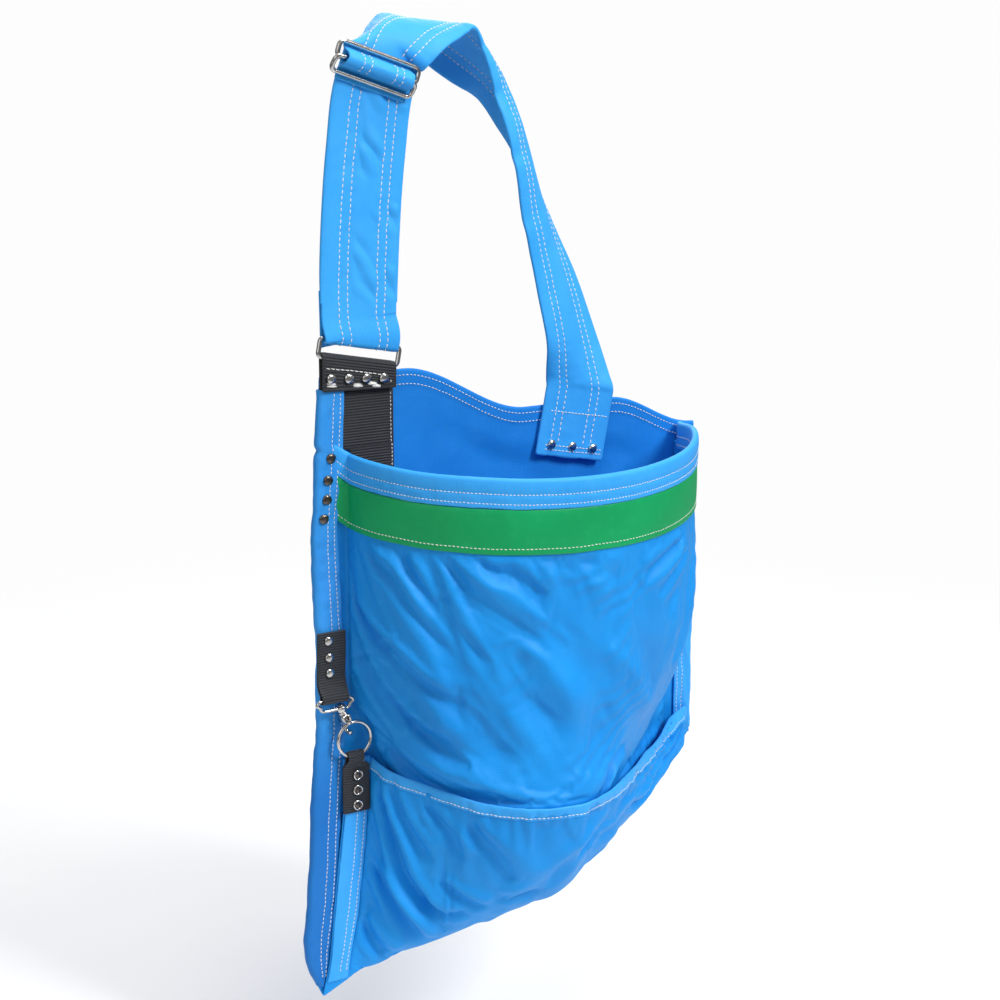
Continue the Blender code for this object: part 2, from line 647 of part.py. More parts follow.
def snap_turned(bottom, top, r_bottom, r_top):
    return cylinder(snap_point(0, 0, bottom), snap_point(0, 0, top), r_bottom, r_top)


def snap_box(y, z, half_x, half_y, half_z):
    centre = snap_point(0, y, z)
    profile = [(-half_x, -half_y), (half_x, -half_y), (half_x, half_y), (-half_x, half_y)]
    return sweep([(centre - SNAP_UP * half_z, SNAP_X, REAR),
                  (centre + SNAP_UP * half_z, SNAP_X, REAR)], profile)


def build_snap_eye():
    height = 9.0
    path = rounded_rect(EYE_C - UP * height / 2, RIGHT, UP, 16.6, height / 2, 3.5,
                        half_w_low=13.5)
    eye = finish("snap_eye", wire_loop(path, REAR, EYE_WIRE), RING_STEEL, origin=EYE_C)
    # boss with a bore for the hook's stem
    boolean(eye, snap_turned(13.6, 18.6, 4.3, 4.3), "UNION")
    boolean(eye, snap_turned(12.0, 24.0, 2.0, 2.0), "DIFFERENCE")


def build_snap_hook():
    path = [snap_point(0, HOOK_R, z) for z in (8.0, 3.0, -1.0)]
    path += [snap_point(0, HOOK_R * math.cos(a), HOOK_BEND_Z + HOOK_R * math.sin(a))
             for a in np.linspace(0, -math.pi, 11)]
    frames = [(p, SNAP_X, np.cross(tan, SNAP_X)) for p, tan in zip(path, tangents(path))]
    hook = finish("snap_hook", sweep(frames, round_profile(HOOK_WIRE, 8)), RING_STEEL,
                  origin=SNAP_C)
    boolean(hook, snap_box(-0.4, 7.3, 2.9, 5.7, 3.9), "UNION")
    for part in HOOK_TURNED:
        boolean(hook, snap_turned(*part), "UNION")
    # slot for the gate and its spring
    boolean(hook, snap_box(-5.0, 6.3, 1.6, 2.7, 4.3), "DIFFERENCE")


def build_snap_gate():
    """Sliding bolt with a headed thumb stud facing the front."""
    def stud(near, far, r_near, r_far, seg):
        return cylinder(snap_point(0, -HOOK_R - near, THUMB_Z),
                        snap_point(0, -HOOK_R - far, THUMB_Z), r_near, r_far, seg)

    base = snap_point(0, -HOOK_R, 2.6)
    bolt = cylinder(base, snap_point(0, -HOOK_R, 7.4), GATE_R, GATE_R, seg=12)
    gate = finish("snap_gate", bolt, RING_STEEL, origin=base)
    boolean(gate, stud(0.8, 4.2, 1.0, 1.0, 10), "UNION")
    boolean(gate, stud(4.0, 5.2, 1.9, 1.5, 12), "UNION")


def build_gate_spring():
    """Coil spring above the bolt."""
    turns, per_turn = 4, 10
    steps = turns * per_turn
    frames = []
    for i in range(steps + 1):
        a = 2 * math.pi * i / per_turn
        centre = snap_point(SPRING_R * math.cos(a), -HOOK_R + SPRING_R * math.sin(a),
                            SPRING_Z + SPRING_LEN * i / steps)
        frames.append((centre, SNAP_X * math.cos(a) + REAR * math.sin(a), SNAP_UP))
    finish("gate_spring", sweep(frames, round_profile(SPRING_WIRE, 5)), SPRING_STEEL)


# ------------------------------------------------------------------ dump flap
# upper edge of the flap, left to right; the first three points are its flat margin
HEM = [
    (-177, FLAP_Y, -264), (-164, FLAP_Y, -265), (-151, FLAP_Y, -267), (-146, -34, -273),
    (-124, -70, -280), (-99, -108, -286), (-66, -135, -289), (-28, -145, -290),
    (14, -131, -290), (52, -105, -289), (88, -77, -289), (122, -50, -288), (154, -24, -285),
    (182, FLAP_Y, -281)]
# (height, x) of the flap's left edge and of the inner edge of its flat margin
FLAP_L = [(-264, -177), (-311, -177), (-349, -182), (-390, -187), (-445, -193), (-474, -200)]
FLAP_M = [(-264, -151), (-316, -155), (-357, -159), (-406, -165), (-435, -172), (-464, -177)]
MARGIN_CHORD = [(-267, -151), (-464, -177)]    # straight line between that edge's ends
MARGIN_BASE_X = (-200.0, -188.5, -177.0)       # the margin's columns at the hinge
FLAP_SAG = 10.0


def flap_grid():
    """Flap surface: columns from left to right, each from the hinge to the hem."""
    tops = np.array(HEM[:3] + list(through(HEM[2:], 30)[1:]))
    lengths = arc_lengths(tops)
    span = HINGE_R[0] - MARGIN_BASE_X[2]
    grid = []
    for i, top in enumerate(tops):
        # how far round the scoop this column stands, from 0 to 1
        g = (lengths[i] - lengths[2]) / (lengths[-1] - lengths[2])
        if i <= 2:
            base_x = MARGIN_BASE_X[i]
            sag = 0.0
        else:
            eased = 0.5 - 0.5 * math.cos(math.pi * g)
            base_x = MARGIN_BASE_X[2] + span * (eased * 0.35 + g * 0.65)
            sag = FLAP_SAG * math.sin(math.pi * g)
        base = HINGE_L + (HINGE_R - HINGE_L) * (base_x - HINGE_L[0]) / (HINGE_R[0] - HINGE_L[0])
        column = []
        for q in np.linspace(0, math.pi / 2, 10):
            forward = math.sin(q) ** 0.95
            rise = 1 - math.cos(q) ** 0.95
            p = base + (top - base) * np.array([rise, forward, rise])
            p[2] -= sag * math.sin(2 * q)
            if i <= 2:
                p[0] = (table(FLAP_L, p[2]) * (2 - i) + table(FLAP_M, p[2]) * i) / 2
            else:
                # follow the margin's bent edge, fading out round the scoop
                bow = table(FLAP_M, p[2]) - table(MARGIN_CHORD, p[2])
                p[0] += bow * (1 - smooth(g / 0.3))
            column.append(p)
        grid.append(column)
    return np.array(grid)


def build_flap():
    grid = flap_grid()
    normals = grid_normals(grid)
    normals[:2] = FRONT
    finish("dump_flap", grid_solid(grid, normals, CLOTH / 2), CLOTH_BLUE, origin=HINGE_L)
    # hem strip outside the flap's upper edge, round the scoop only
    frames = []
    for column, normal in zip(grid[3:], normals[3:, -1]):
        frames.append((column[-1], unit(normal * np.array([1, 1, 0])),
                       unit(column[-1] - column[-2])))
    inside = CLOTH / 2 + GAP
    outside = inside + 1.0
    profile = [(outside, -10.0), (outside, -0.5), (inside, -0.5), (inside, -10.0)]
    finish("flap_hem", sweep(frames, profile), CLOTH_BLUE, origin=HINGE_L)


STRIP_Y = FLAP_Y - CLOTH / 2 - GAP     # rear face of the flap's edge strip


def build_flap_edge_strip():
    rows = [(z, table(FLAP_L, z) + 1.0, table(FLAP_M, z) - 2.2)
            for z in np.linspace(-266, -460, 9)]
    flat_strip("flap_edge_strip", rows, STRIP_Y, STRIP_Y - EDGE_STRIP_T)


# ------------------------------------------------------ lower tab, round ring
def build_lower_tab():
    """Webbing tab on the flap, folded over the bottom of the round ring."""
    rear_y = STRIP_Y - EDGE_STRIP_T - GAP - TAB_T / 2
    front_y = rear_y - TAB_T - GAP
    radius_y = ROUND_WIRE + 1.5 + TAB_T / 2
    radius_z = 3.9 + TAB_T / 2
    path = [(rear_y, z) for z in (-311, -298, -286, -271.5)] + [(rear_y - 0.2, -267.5)]
    path += [(SNAP_Y + radius_y * math.cos(a), ROUND_BOTTOM + radius_z * math.sin(a))
             for a in np.linspace(-0.3, math.pi + 0.3, 13)]
    path += [(front_y - 1.0, -267.5), (front_y, -271)]
    path += [(front_y, z) for z in (-286, -298, -311)]

    def edges(z):
        """Narrower and centred on the ring towards the top."""
        near_ring = smooth((z + 271.0) / 7.0)
        half = TAB_W / 2 - 0.5 - 5.0 * near_ring
        centre = -167.3 + (ROUND_C[0] + 167.3) * near_ring
        return (centre - half, centre + half)

    finish("lower_tab", webbing(path, edges, TAB_T), WEB_BLACK, origin=HINGE_L)
    rivet_y = front_y - TAB_T / 2 - GAP
    spots = [(-166.5, rivet_y, -277.5), (-166.8, rivet_y, -291), (-167.1, rivet_y, -304.5)]
    rivets("lower_tab_rivet", spots, LOWER_TAB_RIVET_R)


def build_round_ring():
    path = circle(ROUND_C, RIGHT, UP, ROUND_R, 32)
    finish("round_ring", wire_loop(path, REAR, ROUND_WIRE), RING_STEEL,
           origin=(ROUND_C[0], SNAP_Y, ROUND_BOTTOM))


for old_object in list(bpy.data.objects):
    bpy.data.objects.remove(old_object, do_unlink=True)

build_back_panel()
build_front_panel()
build_rim()
build_bindings()
build_anchor()
build_strap()
build_strap_end()
build_adjuster()
build_upper_tab()
build_snap_eye()
build_snap_hook()
build_snap_gate()
build_gate_spring()
build_flap()
build_flap_edge_strip()
build_lower_tab()
build_round_ring()
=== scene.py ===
# Fruit picking bag: a scooped cloth pouch on a flat back panel, with a stiffened rim,
# a dump flap below, a padded shoulder strap above and steel rings, rivets and a swivel snap.
# Frame: +X along the back panel to its right, +Y towards the wearer, +Z up; the front is -Y.
# Lengths are in millimetres and become metres when meshes are made.
import math
import bpy
import bmesh
import numpy as np
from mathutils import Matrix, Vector


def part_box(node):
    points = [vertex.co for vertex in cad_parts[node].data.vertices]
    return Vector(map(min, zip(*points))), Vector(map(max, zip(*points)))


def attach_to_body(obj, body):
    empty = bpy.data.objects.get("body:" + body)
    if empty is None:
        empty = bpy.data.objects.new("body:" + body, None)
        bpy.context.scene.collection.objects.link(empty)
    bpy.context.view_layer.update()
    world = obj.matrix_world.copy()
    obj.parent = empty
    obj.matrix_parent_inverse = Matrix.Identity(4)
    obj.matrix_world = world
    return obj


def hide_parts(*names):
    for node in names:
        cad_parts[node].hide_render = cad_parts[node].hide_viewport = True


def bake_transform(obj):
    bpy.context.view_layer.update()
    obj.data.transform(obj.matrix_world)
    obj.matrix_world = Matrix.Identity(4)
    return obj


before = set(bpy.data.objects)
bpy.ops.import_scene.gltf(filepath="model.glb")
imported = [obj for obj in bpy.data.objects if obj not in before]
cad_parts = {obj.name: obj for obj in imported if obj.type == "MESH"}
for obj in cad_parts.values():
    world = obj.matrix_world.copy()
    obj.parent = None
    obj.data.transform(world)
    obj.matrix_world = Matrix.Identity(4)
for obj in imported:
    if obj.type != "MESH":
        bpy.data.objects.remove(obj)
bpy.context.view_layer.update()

MM = 0.001
X_AXIS = np.array([1.0, 0.0, 0.0])
Y_AXIS = np.array([0.0, 1.0, 0.0])
Z_AXIS = np.array([0.0, 0.0, 1.0])
FRONT = -Y_AXIS

# Sewn thread: stitch length and period of each kind of seam
STITCH = {
    "panel": (2.5, 3.6), "rim": (2.2, 3.1), "band": (2.4, 3.5), "binding": (2.7, 3.8),
    "web top": (3.6, 4.3), "web bar": (8.6, 8.9), "web pair": (2.4, 3.1), "web side": (2.6, 3.6),
    "strap": (3.4, 4.7), "strap end": (2.6, 3.6), "bight": (3.0, 4.2), "flap hem": (2.7, 3.7)}


# ------------------------------------------------------------------ numeric helpers
def unit(v):
    v = np.asarray(v, float)
    return v / np.maximum(np.linalg.norm(v, axis=-1, keepdims=True), 1e-12)


def ease(t):
    """Smooth step from 0 to 1."""
    t = np.clip(t, 0.0, 1.0)
    return t * t * (3 - 2 * t)


def window(x, low, high, rise, fall=None):
    """1 between low and high, eased to 0 at both over the given widths."""
    return ease((x - low) / rise) * ease((high - x) / (rise if fall is None else fall))


def bell(x):
    return np.exp(-x ** 2)


def arc_length(points):
    return np.r_[0, np.cumsum(np.linalg.norm(np.diff(points, axis=0), axis=1))]


def cubic_rows(x, y, q):
    """Catmull-Rom look-up along the first axis of y, known at x, at positions q."""
    m = np.gradient(y, x, axis=0)
    i = np.clip(np.searchsorted(x, q, side="right") - 1, 0, len(x) - 2)
    h = (x[i + 1] - x[i]).astype(float)
    t = (q - x[i]) / h
    column = (-1,) + (1,) * (y.ndim - 1)
    t, h = t.reshape(column), h.reshape(column)
    return ((2*t**3 - 3*t**2 + 1) * y[i] + (t**3 - 2*t**2 + t) * h * m[i]
            + (-2*t**3 + 3*t**2) * y[i + 1] + (t**3 - t**2) * h * m[i + 1])


def through(points, n, dims=3):
    """n rows on a curve through the points; the first dims columns set the spacing."""
    p = np.asarray(points, float)
    d = arc_length(p[:, :dims])
    return cubic_rows(d, p, np.linspace(0, d[-1], n))


def interp_rows(q, x, table):
    return np.stack([np.interp(q, x, table[:, c]) for c in range(3)], -1)


def arc_points(cx, cy, rx, ry, start, end, n):
    return [(cx + rx * math.cos(a), cy + ry * math.sin(a)) for a in np.linspace(start, end, n)]


def soft_table(rows):
    """Look-up of x by height, with its corners rounded off."""
    reach, sigma, margin = 40, 7.0, 60
    r = np.array(sorted(rows), float)
    z = np.arange(r[0, 0] - margin, r[-1, 0] + margin, 1.0)
    v = np.interp(z, r[:, 0], r[:, 1])
    low = z < r[0, 0]
    v[low] = r[0, 1] + (z[low] - r[0, 0]) * (r[1, 1] - r[0, 1]) / (r[1, 0] - r[0, 0])
    kernel = np.exp(-0.5 * (np.arange(-reach, reach + 1) / sigma) ** 2)
    kernel /= kernel.sum()
    padded = np.r_[np.full(reach, v[0]), v, np.full(reach, v[-1])]
    v = np.convolve(padded, kernel, "same")[reach:-reach]
    return lambda q: np.interp(q, z, v)


def noise(u, v, seed):
    """Smooth value noise in -1..1 on a seeded lattice."""
    table = np.random.RandomState(seed).rand(64, 64) * 2 - 1
    u, v = np.broadcast_arrays(np.asarray(u, float), np.asarray(v, float))
    iu, iv = np.floor(u).astype(int), np.floor(v).astype(int)
    fu, fv = u - iu, v - iv
    fu, fv = fu * fu * (3 - 2 * fu), fv * fv * (3 - 2 * fv)
    a, b = table[iu % 64, iv % 64], table[(iu + 1) % 64, iv % 64]
    c, d = table[iu % 64, (iv + 1) % 64], table[(iu + 1) % 64, (iv + 1) % 64]
    return (a * (1 - fu) + b * fu) * (1 - fv) + (c * (1 - fu) + d * fu) * fv


def layers(u, v, *rows):
    """Sum of noise layers, each (height, cell along u, cell along v, seed)."""
    return sum(height * noise(u / cell_u, v / cell_v, seed)
               for height, cell_u, cell_v, seed in rows)


def wobble(s, seed):
    """Noise along a line."""
    return noise(s, 0.37 * seed, seed)


# ---------------------------------------------------------------- outlines of the bag
# Left edges as (z, x): the back panel, its binding's inner edge, the flap, its margin's inner edge
EDGE_LEFT = [
    (56, -188), (20, -190), (-51, -193), (-71, -196), (-123, -195), (-166, -193), (-210, -195),
    (-245, -196), (-303, -202), (-349, -204), (-395, -207), (-424, -211), (-452, -208),
    (-470, -199)]
BINDING_LEFT = [
    (56, -166), (0, -168), (-60, -175), (-140, -172), (-175, -169), (-240, -171), (-301, -176),
    (-362, -179), (-399, -183), (-429, -188), (-470, -194)]
FLAP_LEFT = [(-264, -177), (-311, -177), (-349, -182), (-390, -187), (-445, -193), (-474, -200)]
FLAP_MARGIN = [(-264, -151), (-316, -155), (-357, -159), (-406, -165), (-435, -172), (-464, -177)]
edge_left = soft_table(EDGE_LEFT)
binding_left = soft_table(BINDING_LEFT)
flap_left = soft_table(FLAP_LEFT)
flap_margin = soft_table(FLAP_MARGIN)

# Plan (x, y) of the front wall low down
LOW_PLAN = [(-166, -4.1), (-150, -26), (-124, -58), (-98, -96), (-68, -123), (-32, -133),
            (8, -120), (46, -95), (82, -67), (114, -42), (140, -22), (160, -4.1)]
LOW_STEPS = 400
low_curve = through(LOW_PLAN, LOW_STEPS + 1)
SEAM_Y = -4.1


def wall_point(angle, z):
    """Front wall: angle 0 at the left seam to pi at the right, blending to the low plan."""
    angle, z = np.broadcast_arrays(np.asarray(angle, float), np.asarray(z, float))
    x_high = -167.0 * np.cos(angle)
    y_high = SEAM_Y - 133.9 * np.maximum(0.0, np.sin(angle)) ** 1.17
    step = angle / math.pi * LOW_STEPS
    x_low = np.interp(step, np.arange(LOW_STEPS + 1), low_curve[:, 0])
    y_low = np.interp(step, np.arange(LOW_STEPS + 1), low_curve[:, 1])
    blend = ease((-150.0 - z) / 140.0)
    shrink = 1.0 - 0.10 * ease((-290.0 - z) / 60.0)
    tuck = 19.0 * ease((-205.0 - z) / 60.0) * (1 - ease(angle / 0.55))
    return np.stack([x_high + (x_low - x_high) * blend + tuck,
                     y_high + (y_low * shrink - y_high) * blend, z], -1)


WALL_ANGLES = np.linspace(0, math.pi, 1500)
WALL_ARCS = arc_length(wall_point(WALL_ANGLES, -100.0))
WALL_LENGTH = WALL_ARCS[-1]


def angle_at(arc):
    return np.interp(arc, WALL_ARCS, WALL_ANGLES)


def rim_height(angle):
    return -12.5 * np.sin(angle) - 8.0 * ease((angle / math.pi - 0.85) / 0.15)


def back_top(x):
    return 63.0 - 44.0 * ease((x + 112.0) / 120.0) - 30.0 * ease((x - 96.0) / 90.0)


FLAP_Y = -8.6
HINGE_L = np.array([-200.0, FLAP_Y, -474.0])
HINGE_R = np.array([186.0, FLAP_Y, -306.0])
# Upper edge of the flap's scoop, left to right (x, y, z)
FLAP_HEM = [
    (-151, FLAP_Y, -267), (-146, -34, -273), (-124, -70, -280), (-99, -108, -286),
    (-66, -135, -289), (-28, -145, -290), (14, -131, -290), (52, -105, -289), (88, -77, -289),
    (122, -50, -288), (154, -24, -285), (182, FLAP_Y, -281)]
flap_hem_curve = through(FLAP_HEM, 801)
flap_hem_share = arc_length(flap_hem_curve)
flap_hem_share /= flap_hem_share[-1]
MARGIN_X = -177.0
SCOOP_SPAN = HINGE_R[0] - MARGIN_X


def hinge_point(x):
    share = (np.asarray(x) - HINGE_L[0]) / (HINGE_R[0] - HINGE_L[0])
    return HINGE_L + (HINGE_R - HINGE_L) * share[..., None]


def flap_rise(q):
    """Share of the way up to the hem at a sweep of q, 0 to pi/2."""
    return 1 - np.maximum(np.cos(q), 0) ** 0.95


def flap_point(g, q):
    """Dump flap: g 0..1 along the hem from its flat left margin, q 0..pi/2 up from the seam."""
    g, q = np.broadcast_arrays(np.asarray(g, float), np.asarray(q, float))
    hem = interp_rows(g, flap_hem_share, flap_hem_curve)
    base = hinge_point(MARGIN_X + SCOOP_SPAN * (0.5 - 0.5 * np.cos(math.pi * g)) * 0.35
                       + SCOOP_SPAN * g * 0.65)
    sag = 10.0 * np.sin(math.pi * g)
    out = np.sin(q) ** 0.95
    up = flap_rise(q)
    x = base[..., 0] + (hem[..., 0] - base[..., 0]) * up
    y = base[..., 1] + (hem[..., 1] - base[..., 1]) * out
    z = base[..., 2] + (hem[..., 2] - base[..., 2]) * up - sag * np.sin(2 * q)
    straight = MARGIN_X + 26.0 * np.clip((z + 464.0) / 197.0, 0, 1)
    x = x + (flap_margin(z) - straight) * (1 - ease(g / 0.3))
    return np.stack([x, y, z], -1)


# ----------------------------------------------------------------------- mesh making
# A shell is (points in mm, list of face arrays, UV of each point in metres).
def signed_volume(points, faces):
    centre = points.mean(0)
    total = 0.0
    for f in faces:
        corners = [points[f[:, k]] - centre for k in range(f.shape[1])]
        for b, c in zip(corners[1:], corners[2:]):
            total += np.einsum("ij,ij->", corners[0], np.cross(b, c))
    return total


def make_mesh(name, shell, materials, sharp=None, face_materials=None):
    """Object from a shell, its faces wound outwards."""
    points, faces, uv = shell
    points = np.asarray(points, float) * MM
    flip = signed_volume(points, faces) < 0
    face_list = []
    for f in faces:
        face_list += (f[:, ::-1] if flip else f).tolist()
    mesh = bpy.data.meshes.new(name)
    mesh.from_pydata(points.tolist(), [], face_list)
    index = np.zeros(len(mesh.loops), np.int32)
    mesh.loops.foreach_get("vertex_index", index)
    layer = mesh.uv_layers.new(name="UVMap")
    layer.data.foreach_set("uv", np.asarray(uv, np.float32)[index].ravel())
    for material in materials:
        mesh.materials.append(material)
    if face_materials is not None:
        mesh.polygons.foreach_set("material_index", np.asarray(face_materials, np.int32))
    mesh.shade_smooth()
    if sharp is not None:
        mesh.set_sharp_from_angle(angle=math.radians(sharp))
    mesh.update()
    return link_object(name, mesh)


def link_object(name, data):
    ob = bpy.data.objects.new(name, data)
    bpy.context.scene.collection.objects.link(ob)
    return ob


def merge(name, shells, materials, sharp):
    """One object from several shells."""
    points, uvs, faces = [], [], []
    base = 0
    for p, fs, uv in shells:
        flip = signed_volume(p, fs) < 0
        faces += [(f[:, ::-1] if flip else f) + base for f in fs]
        points.append(p)
        uvs.append(uv)
        base += len(p)
    return make_mesh(name, (np.concatenate(points), faces, np.concatenate(uvs)), materials, sharp)


def normals_of(points, toward=None, at=None):
    """Grid normals, all flipped if the one at grid place at (the middle) faces against toward."""
    n = unit(np.cross(np.gradient(points, axis=0), np.gradient(points, axis=1)))
    if toward is not None:
        at = at or (points.shape[0] // 2, points.shape[1] // 2)
        if np.dot(n[at], toward) < 0:
            n = -n
    return n


def face_along(normals, reference):
    """Each normal flipped on its own to the side of its reference."""
    return normals * np.sign((normals * reference).sum(-1, keepdims=True) + 1e-9)


def grid_faces(index):
    corners = [index[:-1, :-1], index[1:, :-1], index[1:, 1:], index[:-1, 1:]]
    return np.stack(corners, -1).reshape(-1, 4)


def ring_faces(a, b):
    """Quads between rings a and rings b."""
    return np.stack([a, np.roll(a, -1, 1), np.roll(b, -1, 1), b], -1).reshape(-1, 4)


def cap_faces(first, last, tip):
    """Fans closing two rings on points tip and tip + 1."""
    k = len(first)
    return np.concatenate([np.stack([np.full(k, tip), np.roll(first, -1), first], -1),
                           np.stack([np.full(k, tip + 1), last, np.roll(last, -1)], -1)])


def sheet(name, pts, nrm, half, material, rim=3):
    """Closed sheet of cloth round a grid of centre points, with a rounded edge."""
    nu, nv, _ = pts.shape
    half = np.broadcast_to(np.asarray(half, float), (nu, nv))
    top = (pts + nrm * half[..., None]).reshape(-1, 3)
    bottom = (pts - nrm * half[..., None]).reshape(-1, 3)
    count = nu * nv
    index = np.arange(count).reshape(nu, nv)
    quads = grid_faces(index)
    faces = [quads, (quads + count)[:, ::-1]]
    border = np.array([(i, 0) for i in range(nu)] + [(nu - 1, j) for j in range(1, nv)]
                      + [(i, nv - 1) for i in range(nu - 2, -1, -1)]
                      + [(0, j) for j in range(nv - 2, 0, -1)])
    i, j = border[:, 0], border[:, 1]
    edge, edge_n, edge_h = pts[i, j], nrm[i, j], half[i, j][:, None]
    out = edge - pts[np.clip(i, 1, nu - 2), np.clip(j, 1, nv - 2)]
    out = unit(out - edge_n * (out * edge_n).sum(1)[:, None])
    rings = [edge + edge_n * edge_h * math.cos(a) + out * edge_h * math.sin(a)
             for a in [math.pi * k / (rim + 1) for k in range(1, rim + 1)]]
    nb = len(border)
    edge_id = index[i, j]
    chain = [edge_id] + [2 * count + k * nb + np.arange(nb) for k in range(rim)]
    chain.append(edge_id + count)
    for a, b in zip(chain, chain[1:]):
        faces.append(np.stack([np.roll(a, -1), a, b, np.roll(b, -1)], -1))
    lu, lv = np.zeros((nu, nv)), np.zeros((nu, nv))
    lu[1:] = np.cumsum(np.linalg.norm(np.diff(pts, axis=0), axis=2), axis=0)
    lv[:, 1:] = np.cumsum(np.linalg.norm(np.diff(pts, axis=1), axis=2), axis=1)
    uv = np.stack([lu.ravel() * MM, lv.ravel() * MM], -1)
    uv = np.concatenate([uv, uv] + [uv[edge_id]] * rim)
    return make_mesh(name, (np.concatenate([top, bottom] + rings), faces, uv), [material])


def tube_shell(rings, closed=False):
    """Solid through rings of points (n, k, 3); closed joins the last to the first."""
    rings = np.asarray(rings, float)
    n, k, _ = rings.shape
    index = np.arange(n * k).reshape(n, k)
    faces = [ring_faces(index, np.roll(index, -1, 0)) if closed
             else ring_faces(index[:-1], index[1:])]
    points = rings.reshape(-1, 3)
    ls, lp = arc_length(rings.mean(1)), arc_length(rings[n // 2])
    uv = np.stack(np.broadcast_arrays(ls[:, None], lp[None, :]), -1).reshape(-1, 2) * MM
    if not closed:
        points = np.concatenate([points, rings[0].mean(0)[None], rings[-1].mean(0)[None]])
        uv = np.concatenate([uv, uv[:1], uv[-1:]])
        faces.append(cap_faces(index[0], index[-1], n * k))
    return points, faces, uv


def tube(name, rings, material):
    return make_mesh(name, tube_shell(rings), [material])


class Surface:
    """A finished sheet, sampled by fractional row and column."""

    def __init__(self, points, normals, half):
        self.points, self.normals = points, normals
        self.half = np.broadcast_to(np.asarray(half, float), points.shape[:2])

    def at(self, i, j, side=1.0, lift=0.0):
        """Points and normals on the face to the given side, lifted off it."""
        i, j = np.broadcast_arrays(np.asarray(i, float), np.asarray(j, float))
        nu, nv = self.half.shape
        i, j = np.clip(i, 0, nu - 1.001), np.clip(j, 0, nv - 1.001)
        a, b = i.astype(int), j.astype(int)
        fa, fb = (i - a)[..., None], (j - b)[..., None]

        def mix(q):
            return ((q[a, b] * (1 - fa) + q[a + 1, b] * fa) * (1 - fb)
                    + (q[a, b + 1] * (1 - fa) + q[a + 1, b + 1] * fa) * fb)
        n = unit(mix(self.normals))
        return mix(self.points) + n * side * (mix(self.half[..., None]) + lift), n * side


def stitches(name, rows, r):
    """One small raised capsule per stitch. rows: (points, normals, kind of seam)."""
    slices, sides = 5, 6
    ring_points = slices * sides
    points, quads, tris, uvs = [], [], [], []
    base = 0
    rs = np.random.RandomState(len(name) * 7 + int(r * 100))
    f = np.linspace(0, 1, slices)
    rise = r * np.array([-0.35, 0.35, 0.55, 0.35, -0.35])
    girth = r * np.array([0.5, 0.95, 1.0, 0.95, 0.5])
    a = 2 * math.pi * np.arange(sides) / sides
    ids = np.arange(ring_points).reshape(slices, sides)
    for path, normals, kind in rows:
        length, period = STITCH[kind]
        s = arc_length(path)
        count = int((s[-1] - length) / period)
        if count < 1:
            continue
        start = np.arange(count) * period + 0.4 + rs.uniform(-0.12, 0.12, count)
        size = length * (1 + rs.uniform(-0.06, 0.06, count))
        along = start[:, None] + size[:, None] * f[None]
        centre = interp_rows(along, s, path)
        n = unit(interp_rows(along, s, normals))
        side = unit(np.cross(unit(np.gradient(centre, axis=1)), n))
        skew = rs.uniform(-0.12, 0.12, (count, 1)) + np.linspace(-0.10, 0.10, slices)[None]
        centre = centre + side * skew[..., None]
        up = rise[None, :, None, None] + (0.8 * girth[:, None] * np.sin(a))[None, ..., None]
        ring = (centre[:, :, None] + n[:, :, None] * up
                + side[:, :, None] * (girth[:, None] * np.cos(a))[None, ..., None])
        ends = np.stack([ring[:, 0].mean(1), ring[:, -1].mean(1)], 1)
        capsule = np.concatenate([ring.reshape(count, ring_points, 3), ends], 1)
        per = ring_points + 2
        offset = base + per * np.arange(count)[:, None, None]
        quads.append((ring_faces(ids[:-1], ids[1:])[None] + offset).reshape(-1, 4))
        tris.append((cap_faces(ids[0], ids[-1], ring_points)[None] + offset).reshape(-1, 3))
        uv = np.stack(np.broadcast_arrays(f[:, None] * length, a[None] * r), -1).reshape(-1, 2)
        uvs.append(np.tile(np.concatenate([uv, uv[:1], uv[-1:]]), (count, 1)) * MM)
        points.append(capsule.reshape(-1, 3))
        base += per * count
    faces = [np.concatenate(quads), np.concatenate(tris)]
    return make_mesh(name, (np.concatenate(points), faces, np.concatenate(uvs)), [THREAD])


def rounded_rect(centre, across, up, half_w, half_h, r, half_w_low=None):
    corner, straight = 12, 10
    centre, across, up = np.asarray(centre, float), unit(across), unit(up)
    low = half_w if half_w_low is None else half_w_low
    corners = []
    for sx, sy, w, start in ((1, 1, half_w, 0), (-1, 1, half_w, 90), (-1, -1, low, 180),
                             (1, -1, low, 270)):
        for k in range(corner + 1):
            a = math.radians(start + 90 * k / corner)
            corners.append(centre + across * (sx * (w - r) + r * math.cos(a))
                           + up * (sy * (half_h - r) + r * math.sin(a)))
    corners = np.array(corners)
    out = []
    m = corner + 1
    f = np.linspace(0, 1, straight + 2)[1:-1, None]
    for k in range(4):
        out.append(corners[k * m:(k + 1) * m])
        a, b = corners[(k + 1) * m - 1], corners[((k + 1) * m) % (4 * m)]
        out.append(a + (b - a) * f)
    return np.concatenate(out)


def wire_shell(path, normal, radius):
    """Round wire along a closed flat path."""
    seg = 20
    p = np.asarray(path, float)
    t = unit(unit(np.roll(p, -1, 0) - p) + unit(p - np.roll(p, 1, 0)))
    normal = unit(normal)
    side = unit(np.cross(t, normal))
    a = 2 * math.pi * (np.arange(seg) + 0.5) / seg
    rings = p[:, None] + radius * (side[:, None] * np.cos(a)[None, :, None]
                                   + normal[None, None] * np.sin(a)[None, :, None])
    return tube_shell(rings, closed=True)


